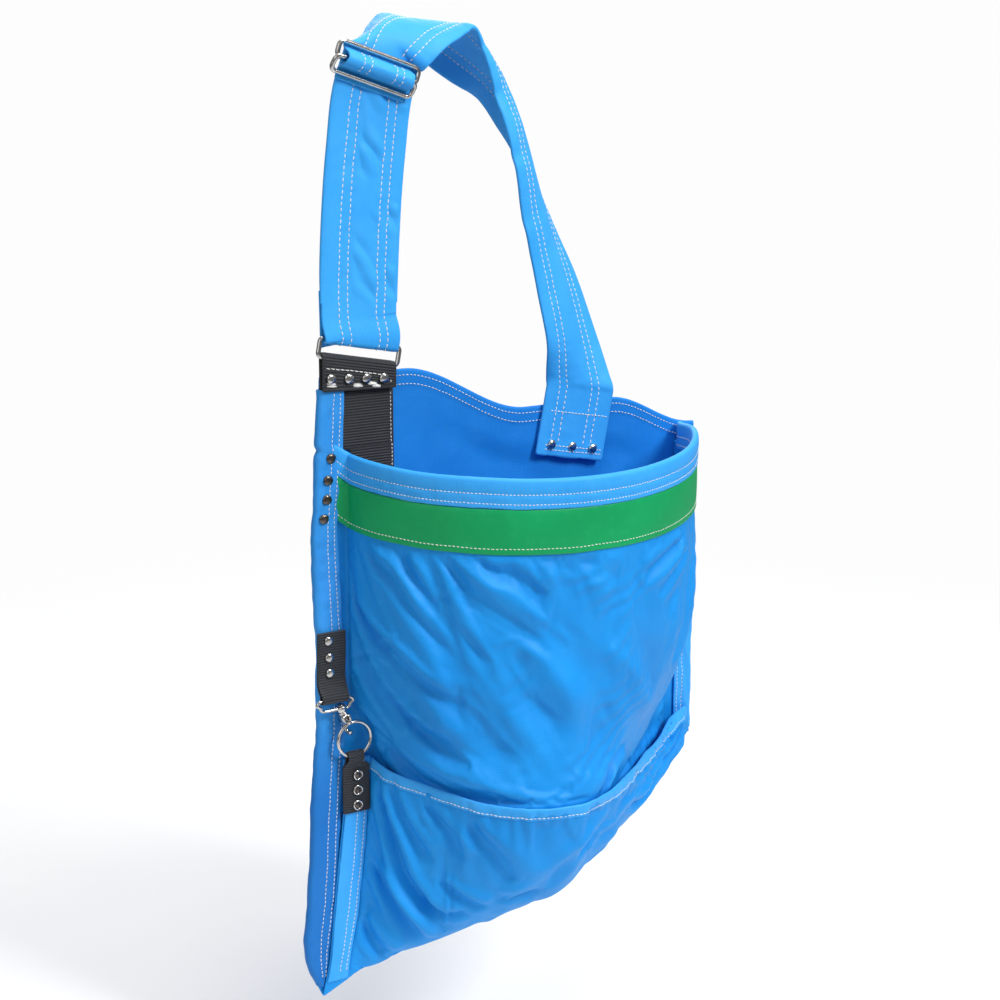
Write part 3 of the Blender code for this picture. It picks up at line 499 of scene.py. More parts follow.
def turned_shell(centre, axis, profile, seg):
    """Solid turned about axis from a list of (radius, height)."""
    axis = unit(axis)
    a = unit(np.cross(axis, Z_AXIS if abs(axis[2]) < 0.9 else X_AXIS))
    b = np.cross(axis, a)
    turn = 2 * math.pi * np.arange(seg) / seg
    circle = a[None] * np.cos(turn)[:, None] + b[None] * np.sin(turn)[:, None]
    centre = np.asarray(centre, float)
    return tube_shell([centre + axis * h + circle * r for r, h in profile])


def attach(ob, body, slot=None, *nodes):
    """Let ob ride on body in place of the frame's nodes; slot is not used."""
    if nodes:
        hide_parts(*nodes)
    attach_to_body(ob, body)


# ------------------------------------------------------------------------- materials
class Shader:
    """Short names for building a material's node tree."""

    def __init__(self, name):
        self.material = bpy.data.materials.new(name)
        self.material.use_nodes = True
        self.tree = self.material.node_tree
        self.tree.nodes.clear()
        self.output = self.node("OutputMaterial")
        self.bsdf = self.node("BsdfPrincipled")
        self.put(self.output.inputs[0], self.bsdf.outputs[0])
        self.object = None

    def node(self, kind, **settings):
        node = self.tree.nodes.new("ShaderNode" + kind)
        for key, value in settings.items():
            setattr(node, key, value)
        return node

    def put(self, socket, value):
        if isinstance(value, bpy.types.NodeSocket):
            self.tree.links.new(value, socket)
        elif isinstance(value, tuple):
            socket.default_value = (*value, 1.0)
        else:
            socket.default_value = value

    def fill(self, node, **inputs):
        """Set inputs by name, with _ for a space."""
        for key, value in inputs.items():
            self.put(node.inputs[key.replace("_", " ")], value)

    def finish(self, **inputs):
        self.fill(self.bsdf, **inputs)
        return self.material

    def coords(self, kind):
        return self.node("TexCoord").outputs[kind]

    def split(self, vector):
        node = self.node("SeparateXYZ")
        self.put(node.inputs[0], vector)
        return node.outputs

    def math(self, operation, a, b=0.0):
        node = self.node("Math", operation=operation)
        self.put(node.inputs[0], a)
        self.put(node.inputs[1], b)
        return node.outputs[0]

    def sine(self, value, factor):
        return self.math("SINE", self.math("MULTIPLY", value, factor))

    def noise(self, vector, scale, detail=3.0, roughness=0.55, distortion=0.0):
        node = self.node("TexNoise")
        self.fill(node, Vector=vector, Scale=scale, Detail=detail, Roughness=roughness,
                  Distortion=distortion)
        return node.outputs["Fac"]

    def remap(self, value, span, to=(0.0, 1.0)):
        node = self.node("MapRange", clamp=True)
        self.fill(node, Value=value, From_Min=span[0], From_Max=span[1], To_Min=to[0],
                  To_Max=to[1])
        return node.outputs[0]

    def mix(self, factor, a, b):
        node = self.node("Mix", data_type="RGBA")
        for k, value in ((0, factor), (6, a), (7, b)):
            self.put(node.inputs[k], value)
        return node.outputs[2]

    def tint(self, colour, over, where, span, to=(0.0, 1.0)):
        """Lay the second colour over the first as a value crosses span."""
        return self.mix(self.remap(where, span, to), colour, over)

    def bump(self, height, distance, strength, normal=None):
        node = self.node("Bump")
        self.fill(node, Strength=strength, Distance=distance, Height=height)
        if normal is not None:
            self.fill(node, Normal=normal)
        return node.outputs[0]

    def pointiness(self):
        return self.node("NewGeometry").outputs["Pointiness"]


def weave(n, period):
    """Plain weave height in 0..1 from the cloth's own coordinates."""
    u, v, _ = n.split(n.coords("UV"))
    k = math.pi / (period * MM)
    su, sv = n.sine(u, k), n.sine(v, k)
    over = n.math("MULTIPLY", su, sv)
    a = n.math("ABSOLUTE", su)
    b = n.math("ABSOLUTE", sv)
    top = n.math("MULTIPLY", n.math("ADD", over, 1.0), 0.5)
    return n.math("ADD", n.math("MULTIPLY", a, top),
                  n.math("MULTIPLY", b, n.math("SUBTRACT", 1.0, top)))


def cloth(name, base, deep, light, sheen=0.05, crumple=1.0, roughness=0.5, painted_shade_below=None):
    """Woven cloth; below an optional height in metres its colour turns to the deep tone, painted
    as shade.
    """
    n = Shader(name)
    obj = n.coords("Object")
    threads = weave(n, period=1.35)
    broad = n.noise(obj, scale=9.0, detail=3, roughness=0.5, distortion=0.4)
    mid = n.noise(obj, scale=60.0, detail=4, roughness=0.6)
    fine = n.noise(obj, scale=900.0, detail=2, roughness=0.6)
    colour = n.tint(deep, base, broad, span=(0.25, 0.75), to=(0.35, 1.0))
    colour = n.tint(colour, light, mid, span=(0.45, 0.8), to=(0.0, 0.12))
    colour = n.tint(colour, deep, threads, span=(0.15, 0.55), to=(0.34, 0.0))
    colour = n.tint(colour, light, fine, span=(0.55, 0.85), to=(0.0, 0.22))
    wear = n.remap(n.pointiness(), span=(0.53, 0.62), to=(0.0, 0.45))
    colour = n.mix(n.math("MULTIPLY", wear, n.remap(mid, span=(0.35, 0.65))), colour, light)
    # Painted shade: below the given height the colour is pulled to the deep tone.
    if painted_shade_below is not None:
        colour = n.tint(colour, deep, n.split(obj)[2],
                        span=(painted_shade_below - 0.05, painted_shade_below + 0.03), to=(0.82, 0.0))
    bump = n.bump(n.noise(obj, scale=34.0, detail=3, roughness=0.55, distortion=0.3),
                  distance=0.0012 * crumple, strength=0.35)
    bump = n.bump(n.noise(obj, scale=130.0, detail=3, roughness=0.6),
                  distance=0.0004 * crumple, strength=0.4, normal=bump)
    bump = n.bump(threads, distance=0.00018, strength=0.55, normal=bump)
    rough = n.math("ADD", n.remap(mid, span=(0.2, 0.8), to=(roughness - 0.07, roughness + 0.09)),
                   n.remap(threads, span=(0, 1), to=(0.06, -0.03)))
    return n.finish(Base_Color=colour, Roughness=rough, Normal=bump, Sheen_Weight=sheen,
                    Sheen_Roughness=0.35, Specular_IOR_Level=0.24, Sheen_Tint=(0.62, 0.80, 1.0))


def vinyl(name, base, deep, light):
    """Coated cloth with a fine diagonal grain."""
    n = Shader(name)
    obj = n.coords("Object")
    u, v, _ = n.split(n.coords("UV"))
    k = 2 * math.pi / (1.25 * MM)
    rising = n.sine(n.math("ADD", u, v), k)
    falling = n.sine(n.math("SUBTRACT", u, v), k)
    grain = n.math("ADD", n.math("MULTIPLY", rising, 0.6), n.math("MULTIPLY", falling, 0.35))
    broad = n.noise(obj, scale=12.0, detail=3, roughness=0.5)
    mid = n.noise(obj, scale=120.0, detail=4, roughness=0.6)
    colour = n.tint(deep, base, broad, span=(0.3, 0.7))
    colour = n.tint(colour, light, grain, span=(0.1, 0.9), to=(0.0, 0.25))
    colour = n.tint(colour, light, mid, span=(0.55, 0.8), to=(0.0, 0.2))
    colour = n.tint(colour, light, n.pointiness(), span=(0.53, 0.6), to=(0.0, 0.5))
    bump = n.bump(n.noise(obj, scale=45.0, detail=2, roughness=0.5), distance=0.0008,
                  strength=0.4)
    bump = n.bump(grain, distance=0.00008, strength=0.5, normal=bump)
    rough = n.remap(mid, span=(0.3, 0.7), to=(0.32, 0.46))
    return n.finish(Base_Color=colour, Roughness=rough, Normal=bump, Specular_IOR_Level=0.28,
                    Coat_Weight=0.03, Coat_Roughness=0.3)


def webbing(name, rib):
    """Black webbing; rib weighs the ribs that run across it, bumped and with their shade painted
    into the colour.
    """
    n = Shader(name)
    obj = n.coords("Object")
    u, v, _ = n.split(n.coords("UV"))
    ribs = n.sine(u, 2 * math.pi / (2.3 * MM))
    cross = n.sine(v, 2 * math.pi / (0.9 * MM))
    height = n.math("ADD", n.math("MULTIPLY", ribs, rib), n.math("MULTIPLY", cross, 0.4))
    mid = n.noise(obj, scale=150.0, detail=4, roughness=0.6)
    fine = n.noise(obj, scale=1500.0, detail=2, roughness=0.6)
    # Painted shade: the colour follows the height, darker in the rib troughs and lighter on the
    # ridges; the fine cross weave is the weave's pattern.
    colour = n.tint((0.0035, 0.0040, 0.0050), (0.036, 0.042, 0.050), height, span=(-0.35, 0.75))
    colour = n.tint(colour, (0.060, 0.066, 0.078), fine, span=(0.55, 0.85), to=(0.0, 0.4))
    colour = n.tint(colour, (0.040, 0.042, 0.050), mid, span=(0.5, 0.85), to=(0.0, 0.3))
    # Lighter where the surface bulges: the webbing's edges and rib crests.
    colour = n.tint(colour, (0.11, 0.115, 0.125), n.pointiness(), span=(0.54, 0.64),
                    to=(0.0, 0.5))
    bump = n.bump(mid, distance=0.0002, strength=0.4)
    bump = n.bump(height, distance=0.00018, strength=0.7, normal=bump)
    rough = n.remap(mid, span=(0.3, 0.7), to=(0.52, 0.7))
    return n.finish(Base_Color=colour, Roughness=rough, Normal=bump, Sheen_Weight=0.25,
                    Sheen_Roughness=0.4, Specular_IOR_Level=0.4)


def metal(name, base, tarnish, roughness):
    n = Shader(name)
    obj = n.coords("Object")
    broad = n.noise(obj, scale=70.0, detail=4, roughness=0.6)
    fine = n.noise(obj, scale=900.0, detail=3, roughness=0.65, distortion=1.5)
    pits = n.remap(n.noise(obj, scale=420.0, detail=2, roughness=0.7), span=(0.62, 0.72))
    colour = n.tint(base, tarnish, broad, span=(0.35, 0.75), to=(0.0, 0.55))
    colour = n.tint(colour, tarnish, n.pointiness(), span=(0.38, 0.49), to=(0.6, 0.0))
    colour = n.mix(n.math("MULTIPLY", pits, 0.45), colour, tarnish)
    bump = n.bump(broad, distance=0.0003, strength=0.25)
    bump = n.bump(fine, distance=0.00003, strength=0.35, normal=bump)
    rough = n.remap(fine, span=(0.3, 0.75), to=roughness)
    return n.finish(Base_Color=colour, Metallic=1.0, Roughness=rough, Normal=bump)


def thread(name, base, dark):
    """Twisted sewing thread."""
    n = Shader(name)
    obj = n.coords("Object")
    u, v, _ = n.split(n.coords("UV"))
    twist = n.sine(n.math("ADD", u, n.math("MULTIPLY", v, 1.4)), 2 * math.pi / (0.62 * MM))
    mid = n.noise(obj, scale=160.0, detail=3, roughness=0.6)
    colour = n.tint(base, dark, twist, span=(-0.9, 0.5), to=(0.5, 0.0))
    colour = n.tint(colour, dark, mid, span=(0.4, 0.75), to=(0.0, 0.35))
    bump = n.bump(twist, distance=0.00012, strength=0.6)
    rough = n.remap(mid, span=(0.3, 0.7), to=(0.55, 0.72))
    return n.finish(Base_Color=colour, Roughness=rough, Normal=bump, Sheen_Weight=0.3,
                    Sheen_Roughness=0.5)


def plastic(name, base, deep):
    n = Shader(name)
    obj = n.coords("Object")
    broad = n.noise(obj, scale=40.0, detail=4, roughness=0.6)
    fine = n.noise(obj, scale=700.0, detail=2, roughness=0.6)
    colour = n.tint(deep, base, broad, span=(0.3, 0.7))
    return n.finish(Base_Color=colour, Roughness=n.remap(fine, span=(0.3, 0.7), to=(0.35, 0.5)),
                    Normal=n.bump(fine, distance=0.00005, strength=0.4))


BLUE = cloth("blue_cloth", base=(0.008, 0.300, 0.800), deep=(0.003, 0.215, 0.630),
             light=(0.045, 0.410, 0.900))
BLUE_STRAP = cloth("blue_cloth_strap", base=(0.045, 0.390, 0.890), deep=(0.020, 0.300, 0.770),
                   light=(0.12, 0.50, 0.95), crumple=0.9, sheen=0.08)
# The left binding's lower part is painted dark as the shadow it lies in behind the flap; its deep
# tone serves both that painted shade and its random tone.
BLUE_BIND = cloth("blue_cloth_binding", base=(0.045, 0.365, 0.890), deep=(0.004, 0.135, 0.470),
                  light=(0.12, 0.47, 0.95), crumple=0.6, painted_shade_below=-0.245)
BLUE_LINING = cloth("blue_cloth_lining", base=(0.008, 0.225, 0.700), deep=(0.003, 0.155, 0.540),
                    light=(0.04, 0.32, 0.82), roughness=0.6)
GREEN = vinyl("green_vinyl", base=(0.003, 0.370, 0.115), deep=(0.001, 0.290, 0.085),
              light=(0.02, 0.52, 0.20))
BLACK = webbing("black_webbing", rib=0.6)
BLACK_WIDE = webbing("black_webbing_wide", rib=0.0)
STEEL = metal("bright_steel", base=(0.64, 0.625, 0.60), tarnish=(0.24, 0.22, 0.195),
              roughness=(0.14, 0.30))
DARK = metal("dark_steel", base=(0.155, 0.130, 0.110), tarnish=(0.060, 0.050, 0.042),
             roughness=(0.22, 0.40))
THREAD = thread("white_thread", base=(0.92, 0.915, 0.89), dark=(0.62, 0.61, 0.58))
HOOP = plastic("stiffener", base=(0.70, 0.70, 0.66), deep=(0.60, 0.60, 0.56))


# ------------------------------------------------------------------- folds and drape
def fold_section(x, shoulder):
    """Ridge with a shallow trough either side, x in fold widths."""
    return bell(x) - shoulder * bell(x - 1.9)


def crease(points, normals, line, width, dip, step, ends):
    """Height added by one fold along a line; step raises one side, ends is the fade share."""
    line = through(line, 4 * len(line))
    seg = np.diff(line, axis=0)
    length = np.linalg.norm(seg, axis=1)
    start = arc_length(line)
    nearest = np.full(points.shape[:2], 1e9)
    where = np.zeros(points.shape[:2])
    side = np.ones(points.shape[:2])
    for k in range(len(seg)):
        offset = points - line[k]
        t = np.clip((offset @ seg[k]) / (length[k] ** 2), 0, 1)
        offset = offset - t[..., None] * seg[k]
        dist = np.linalg.norm(offset, axis=-1)
        near = dist < nearest
        nearest = np.where(near, dist, nearest)
        where = np.where(near, start[k] + t * length[k], where)
        turn = np.sign((np.cross(seg[k], normals) * offset).sum(-1))
        side = np.where(near, turn, side)
    f = where / start[-1]
    x = nearest / (width * (0.75 + 0.5 * f))
    height = -dip * fold_section(x, 0.55) + step * side * x * np.exp(-0.5 * x * x) * 1.6
    return height * window(f, 0, 1, ends)


def add_folds(height, points, normals, table, place, gain, ends):
    """height plus every fold of a table; gain scales width, dip and step."""
    for line, *sizes in table:
        spots = [place(*spot) for spot in line]
        width, dip, step = (size * g for size, g in zip(sizes, gain))
        height = height + crease(points, normals, spots, width, dip, step, ends)
    return height


CELL = 2          # the simulated cloth takes every second row and column
GROW = 0.012      # share by which the cloth is cut larger than its shape
CLOTH = dict(
    quality=7, mass=0.15, air_damping=2.0, tension_stiffness=12, compression_stiffness=12,
    shear_stiffness=4, bending_stiffness=0.4, tension_damping=8, compression_damping=8,
    shear_damping=8, bending_damping=0.6, vertex_group_mass="pin", pin_stiffness=1.0,
    shrink_min=-GROW, shrink_max=-GROW)


def drape(pts, pin, cap):
    """Sheet points after a short cloth run with pin weights, moves capped in mm."""
    frames = 14
    nu, nv, _ = pts.shape
    iu = np.unique(np.r_[np.arange(0, nu, CELL), nu - 1])
    iv = np.unique(np.r_[np.arange(0, nv, CELL), nv - 1])
    grid = pts[np.ix_(iu, iv)]
    rows, columns = grid.shape[:2]
    quads = grid_faces(np.arange(rows * columns).reshape(rows, columns))
    mesh = bpy.data.meshes.new("drape")
    mesh.from_pydata((grid.reshape(-1, 3) * MM).tolist(), [], quads.tolist())
    ob = link_object("drape", mesh)
    group = ob.vertex_groups.new(name="pin")
    weights = np.round(pin[np.ix_(iu, iv)].ravel(), 2)
    for level in np.unique(weights):
        if level > 0:
            group.add(np.nonzero(weights == level)[0].tolist(), float(level), "REPLACE")
    modifier = ob.modifiers.new("cloth", "CLOTH")
    for key, value in CLOTH.items():
        setattr(modifier.settings, key, value)
    modifier.settings.effector_weights.gravity = 0.15
    modifier.collision_settings.use_collision = False
    modifier.collision_settings.use_self_collision = False
    modifier.point_cache.frame_start = 1
    modifier.point_cache.frame_end = frames
    scene = bpy.context.scene
    for f in range(1, frames + 1):
        scene.frame_set(f)
    settled = ob.evaluated_get(bpy.context.evaluated_depsgraph_get())
    co = np.zeros(rows * columns * 3, np.float32)
    settled.to_mesh().vertices.foreach_get("co", co)
    co = co.reshape(rows, columns, 3).astype(float) / MM
    settled.to_mesh_clear()
    bpy.data.objects.remove(ob, do_unlink=True)
    bpy.data.meshes.remove(mesh)
    scene.frame_set(1)
    move = co - grid
    size = np.linalg.norm(move, axis=-1, keepdims=True)
    move = np.nan_to_num(move * np.minimum(1.0, cap / np.maximum(size, 1e-9)))
    # spread the moves back over the fine sheet, rows first and then columns
    move = cubic_rows(iu, move, np.arange(nu))
    move = cubic_rows(iv, move.transpose(1, 0, 2), np.arange(nv)).transpose(1, 0, 2)
    return pts + move


# ------------------------------------------------------------------------ back panel
# Long drags in the hanging cloth: start (x, z), end (x, z), width, height
BACK_DRAGS = (
    ((-100, -60), (60, -210), 9, 2.0), ((-95, -120), (20, -300), 8, 1.8),
    ((140, -40), (10, -150), 9, 1.7), ((145, -110), (60, -260), 8, 1.5),
    ((-20, -30), (30, -140), 10, 1.3), ((-105, -230), (-30, -380), 7, 1.6))


def back_panel():
    nu, nv = 170, 190
    s = np.linspace(0, 1, nu)[:, None]
    r = np.linspace(0, 1, nv)[None, :]
    # heights from a straight left edge first, then again from the measured one
    x = -192.0 + s * 380.0
    bottom = -470.5 + (x + 199.0) * (167.5 / 385.0)
    top = back_top(x)
    z = top + (bottom - top) * r
    x = edge_left(z) * (1 - s) + 187.8 * s
    top = back_top(x)
    z = top + (bottom - top) * r
    hem = ease((14.0 - (top - z)) / 3.0)
    y = -1.6 + layers(x, z, (0.35, 55.0, 70.0, 3), (0.12, 13.0, 17.0, 4))
    # the cloth hangs a little loose between its seams, towards the wearer
    loose = window(x, -112.0, 150.0, 40.0) * window(z, bottom + 22.0, top - 26.0, 30.0, 26.0)
    swell = 2.2 + 1.8 * noise(x / 70.0, z / 95.0, 6) + 0.9 * noise((x + z) / 38.0, z / 60.0, 7)
    for (x0, z0), (x1, z1), width, height in BACK_DRAGS:
        dx, dz = x1 - x0, z1 - z0
        t = np.clip(((x - x0) * dx + (z - z0) * dz) / (dx * dx + dz * dz), 0, 1)
        away = np.hypot(x - x0 - t * dx, z - z0 - t * dz) / (width * (0.7 + 0.6 * t))
        swell = swell + height * fold_section(away, 0.5) * window(t, 0, 1, 0.3)
    y = y + np.clip(swell, -0.5, 5.0) * loose
    pts = np.stack([x, y, z], -1)
    nrm = normals_of(pts)
    nrm = nrm * np.sign(-nrm[..., 1:2])
    half = (1.15 + 0.28 * hem - 0.12 * bell((top - z - 14.6) / 0.9)
            + 0.06 * noise(x / 5.0, z / 9.0, 5) * hem)
    attach(sheet("back_panel_cloth", pts, nrm, half, BLUE_LINING), "bag", "blue_cloth",
           "back_panel")
    surface = Surface(pts, nrm, half)
    depth = (top - bottom)[:, 0]
    seams = []
    k = np.arange(6, nu - 4, 1.0)
    for inset in (4.0, 11.5):                      # below the top edge, on both faces
        column = inset / np.interp(k, np.arange(nu), depth) * (nv - 1)
        seams += [(*surface.at(k, column, side), "panel") for side in (1.0, -1.0)]
    k = np.arange(4, nu - 3, 1.0)
    for inset in (5.0, 9.0):                       # above the bottom edge, wearer's side
        column = (nv - 1) * (1 - inset / np.interp(k, np.arange(nu), depth))
        seams.append((*surface.at(k, column, -1.0), "panel"))
    return seams


# ----------------------------------------------------------------------- front panel
# Folds from the band and the side seams: line of (arc along the wall, z), width, dip, step
WALL_FOLDS = [
    ([(3, -100), (8, -118), (22, -136), (50, -156), (78, -180), (118, -200)], 8, 2.6, -1.6),
    ([(2, -140), (13, -166), (36, -196), (67, -222), (112, -242)], 11, 2.0, -1.2),
    ([(13, -70), (32, -82), (52, -95), (70, -116), (92, -139), (118, -163)], 8, 2.2, -1.3),
    ([(50, -66), (65, -84), (78, -100), (95, -121), (120, -144), (150, -167)], 8, 2.0, -1.1),
    ([(86, -68), (107, -90), (122, -103), (142, -115), (166, -132), (192, -156)], 9, 2.2, -1.2),
    ([(117, -70), (134, -83), (154, -89), (169, -97), (190, -112)], 8, 2.0, -1.0),
    ([(166, -74), (186, -79), (207, -83), (234, -94), (258, -112)], 9, 1.8, 1.0),
    ([(344, -82), (318, -88), (297, -94), (268, -106)], 7, 1.6, 1.0),
    ([(366, -96), (340, -102), (322, -108), (288, -124)], 7, 1.5, 0.9),
    ([(96, -187), (119, -208), (139, -228), (154, -252)], 16, 2.4, 0.0),
    ([(158, -128), (182, -158), (205, -190), (219, -224), (215, -258)], 16, -2.6, 1.2),
    ([(228, -147), (258, -169), (303, -206), (350, -240)], 15, -2.0, 1.0),
    ([(258, -294), (268, -282), (277, -272), (290, -267), (310, -264)], 4.0, -2.2, 1.2),
    ([(300, -296), (318, -290), (340, -283)], 4.5, 1.6, 0.8),
    ([(8, -250), (52, -262), (93, -271), (142, -277)], 11, 1.6, -0.8),
    ([(20, -225), (60, -250), (110, -262), (180, -268)], 14, -1.8, 0.0),
    ([(340, -120), (345, -160), (372, -215)], 12, 1.6, 0.8),
    ([(400, -95), (396, -150), (404, -220), (420, -270)], 14, -1.8, 0.8),
    ([(440, -90), (436, -150), (438, -210)], 10, 1.4, 0.0),
    ([(150, -180), (190, -215), (240, -235), (300, -240)], 22, 2.0, 0.0),
]


def from_inside(points):
    """Level direction from a point inside the bag to each point."""
    return points * np.array([1, 1, 0]) - np.array([0, -20.0, 0])


def front_panel():
    columns, rows = 300, 170
    angle = angle_at(np.linspace(0, WALL_LENGTH, columns))
    rim = rim_height(angle)[:, None]
    top = rim - 18.2
    z = top + (-311.0 - top) * (np.linspace(0, 1, rows) ** 0.97)[None]
    wall = wall_point(angle[:, None], z)
    out = face_along(normals_of(wall), from_inside(wall))
    out[0] = out[1]
    out[-1] = out[-2]
    arc = np.interp(angle, WALL_ANGLES, WALL_ARCS)[:, None] + 0 * z
    to_right = WALL_LENGTH - arc
    relief = (1.3 * noise(arc / 85.0, z / 95.0, 11) + 0.55 * noise((arc + z) / 42.0, z / 60.0, 12)
              + 0.16 * noise(arc / 15.0, z / 19.0, 13))
    relief = add_folds(relief, wall, out, WALL_FOLDS, lambda a, h: wall_point(angle_at(a), h),
                       gain=(0.74, 1.75, 2.0), ends=0.22)
    # gathers straight under the band and beside the two side seams
    relief += (0.5 * bell((z - rim + 70) / 16.0)
               * np.sin(arc / 6.1 + 2.0 * noise(arc / 23.0, 0.0, 21)))
    for height, inward, pitch, cell, seed in ((0.7, arc, 5.2, 21.0, 22),
                                              (0.6, to_right, 5.7, 24.0, 23)):
        relief += (height * bell(inward / 13.0) * ease((-75 - z) / 20)
                   * np.sin(z / pitch + 2.5 * noise(z / cell, 0.0, seed)))
    # fuller low down, where the cloth lies against the flap's hem
    relief += 6.5 * bell((z + 283.0) / 26.0) * window(arc, 20, 272.0, 70.0, 45.0)
    below = ease((rim - 60.0 - z) / 14.0)
    edge = window(arc, 0.0, WALL_LENGTH, 9.0)
    relief = relief * below * edge
    relief = np.where(z < -270, relief * (1 - 0.75 * ease((-286 - z) / 16.0)), relief)
    cloth_at = wall + out * relief[..., None]
    free = below * ease((arc - 1.0) / 6.0) * ease((WALL_LENGTH - 1.0 - arc) / 6.0)
    cloth_at = drape(cloth_at, 1.0 - free * ease((z + 309.0) / 12.0), cap=4.5)
    # fine pressed creases on top of the big folds
    falling = 0.65 * np.sin((arc * 0.55 - z) / 2.7 + 2.6 * noise(arc / 26.0, z / 22.0, 141))
    rising = 0.45 * np.sin((arc + 0.8 * z) / 3.1 + 2.2 * noise(arc / 19.0, z / 30.0, 143))
    fine = (falling * np.clip(1.6 * noise(arc / 31.0, z / 37.0, 142) - 0.15, 0, 1)
            + rising * np.clip(1.6 * noise(arc / 36.0, z / 29.0, 144) - 0.3, 0, 1))
    cloth_at = cloth_at + out * (fine * below * edge * ease((z + 306.0) / 14.0))[..., None]
    # flat margins sewn to the back panel on both sides
    n_left, n_right = 8, 6
    flat = np.full(rows, SEAM_Y)
    x_left = edge_left(z[0]) - 1.5
    left = [np.stack([x_left + (cloth_at[0, :, 0] - x_left) * k / n_left, flat, z[0]], -1)
            for k in range(n_left)]
    x_right = cloth_at[-1, :, 0]
    right = [np.stack([x_right + (186.5 - x_right) * k / n_right, flat, z[-1]], -1)
             for k in range(1, n_right + 1)]
    pts = np.concatenate([np.array(left), cloth_at, np.array(right)])
    reference = np.zeros_like(pts)
    reference[:] = FRONT
    reference[n_left + 1:-n_right - 1] = from_inside(cloth_at)[1:-1]
    nrm = face_along(normals_of(pts), reference)
    nrm[:n_left] = nrm[-n_right:] = FRONT
    nrm[n_left] = unit(nrm[n_left + 1] + FRONT)
    nrm[-n_right - 1] = unit(nrm[-n_right - 2] + FRONT)
    attach(sheet("front_panel_cloth", pts, nrm, 0.7, BLUE), "bag", "blue_cloth", "front_panel")


# ------------------------------------------------------------------ rim hem and band
# Sections as (out from the wall, up from the rim line)
HEM_OUTER = [
    (1.5, -24.0), (2.5, -24.15), (2.85, -23.4), (2.80, -21.6), (2.55, -20.3), (2.80, -18.8),
    (3.2, -16.0), (3.05, -13.6), (2.62, -12.3), (3.0, -11.0), (3.35, -8.2), (3.35, -5.2),
    (3.1, -2.6)]
HEM_INNER = [
    (-2.9, -3.0), (-3.0, -8.0), (-2.6, -12.3), (-2.9, -16.0), (-2.5, -20.3), (-2.8, -22.5),
    (-2.6, -23.9), (-1.6, -24.0), (-1.4, -22.0), (-1.4, -1.6), (-1.0, -1.0), (1.0, -1.0),
    (1.4, -1.6), (1.4, -22.0)]
HEM_SECTION = (HEM_OUTER
               + arc_points(0, -2.4, 3.0, 3.1, math.radians(15), math.radians(165), 11)
               + HEM_INNER)
BAND_SECTION = [
    (1.15, -61.6), (1.6, -62.2), (2.15, -61.8), (2.3, -60.6), (2.05, -57.2), (2.35, -54.0),
    (2.55, -46.0), (2.55, -38.0), (2.45, -30.0), (2.35, -25.4), (2.1, -24.75), (1.3, -24.7),
    (1.1, -25.4), (1.05, -40.0), (1.05, -57.0)]


def rim_line():
    """Points along the rim, outward directions, and how far each section keeps its depth."""
    inset, d = 0.075, 1e-3
    t = angle_at(np.linspace(0, WALL_LENGTH, 420))
    t = np.r_[inset, t[(t > inset) & (t < math.pi - inset)], math.pi - inset]
    line = wall_point(t, 0.0)
    line[:, 2] = rim_height(t)
    tangent = unit(wall_point(np.minimum(math.pi, t + d), 0.0)
                   - wall_point(np.maximum(0, t - d), 0.0))
    out = np.stack([tangent[:, 1], -tangent[:, 0], 0 * t], -1)
    # the left end runs on along the flange and under the edge binding
    extra, flange_y = 12, -4.3
    x, y, z = line[0]
    x_end = float(binding_left(z - 30.0)) - 9.0
    q = np.linspace(0, 1, extra + 1)[:-1]
    slope = (line[6, 2] - z) / (line[6, 0] - x)
    left = np.column_stack([x_end + (x - x_end) * q, flange_y + (y - flange_y) * q ** 1.4,
                            z + slope * (x_end - x) * (1 - q)])
    left_out = unit(FRONT[None] * (1 - q[:, None]) + out[:1] * q[:, None])
    # and the right end runs on to the right binding
    x, y, z = line[-1]
    x_end = 174.0
    q = np.linspace(0, 1, 9)[1:]
    slope = np.clip((z - line[-7, 2]) / max(1e-6, x - line[-7, 0]), -0.2, 0.2)
    right = np.column_stack([x + (x_end - x) * q, y + (flange_y - y) * q ** 0.5,
                             z + slope * (x_end - x) * q])
    right_out = unit(FRONT[None] * q[:, None] + out[-1:] * (1 - q[:, None]))
    line = np.concatenate([left, line, right])
    k = np.arange(len(line))
    k = np.minimum(k, (len(line) - 1 - k) * 1.4)
    depth = 1 - 0.72 * (1 - ease((k - 2.0) / (extra + 6.0)))[:, None]
    return line, np.concatenate([left_out, out, right_out]), depth


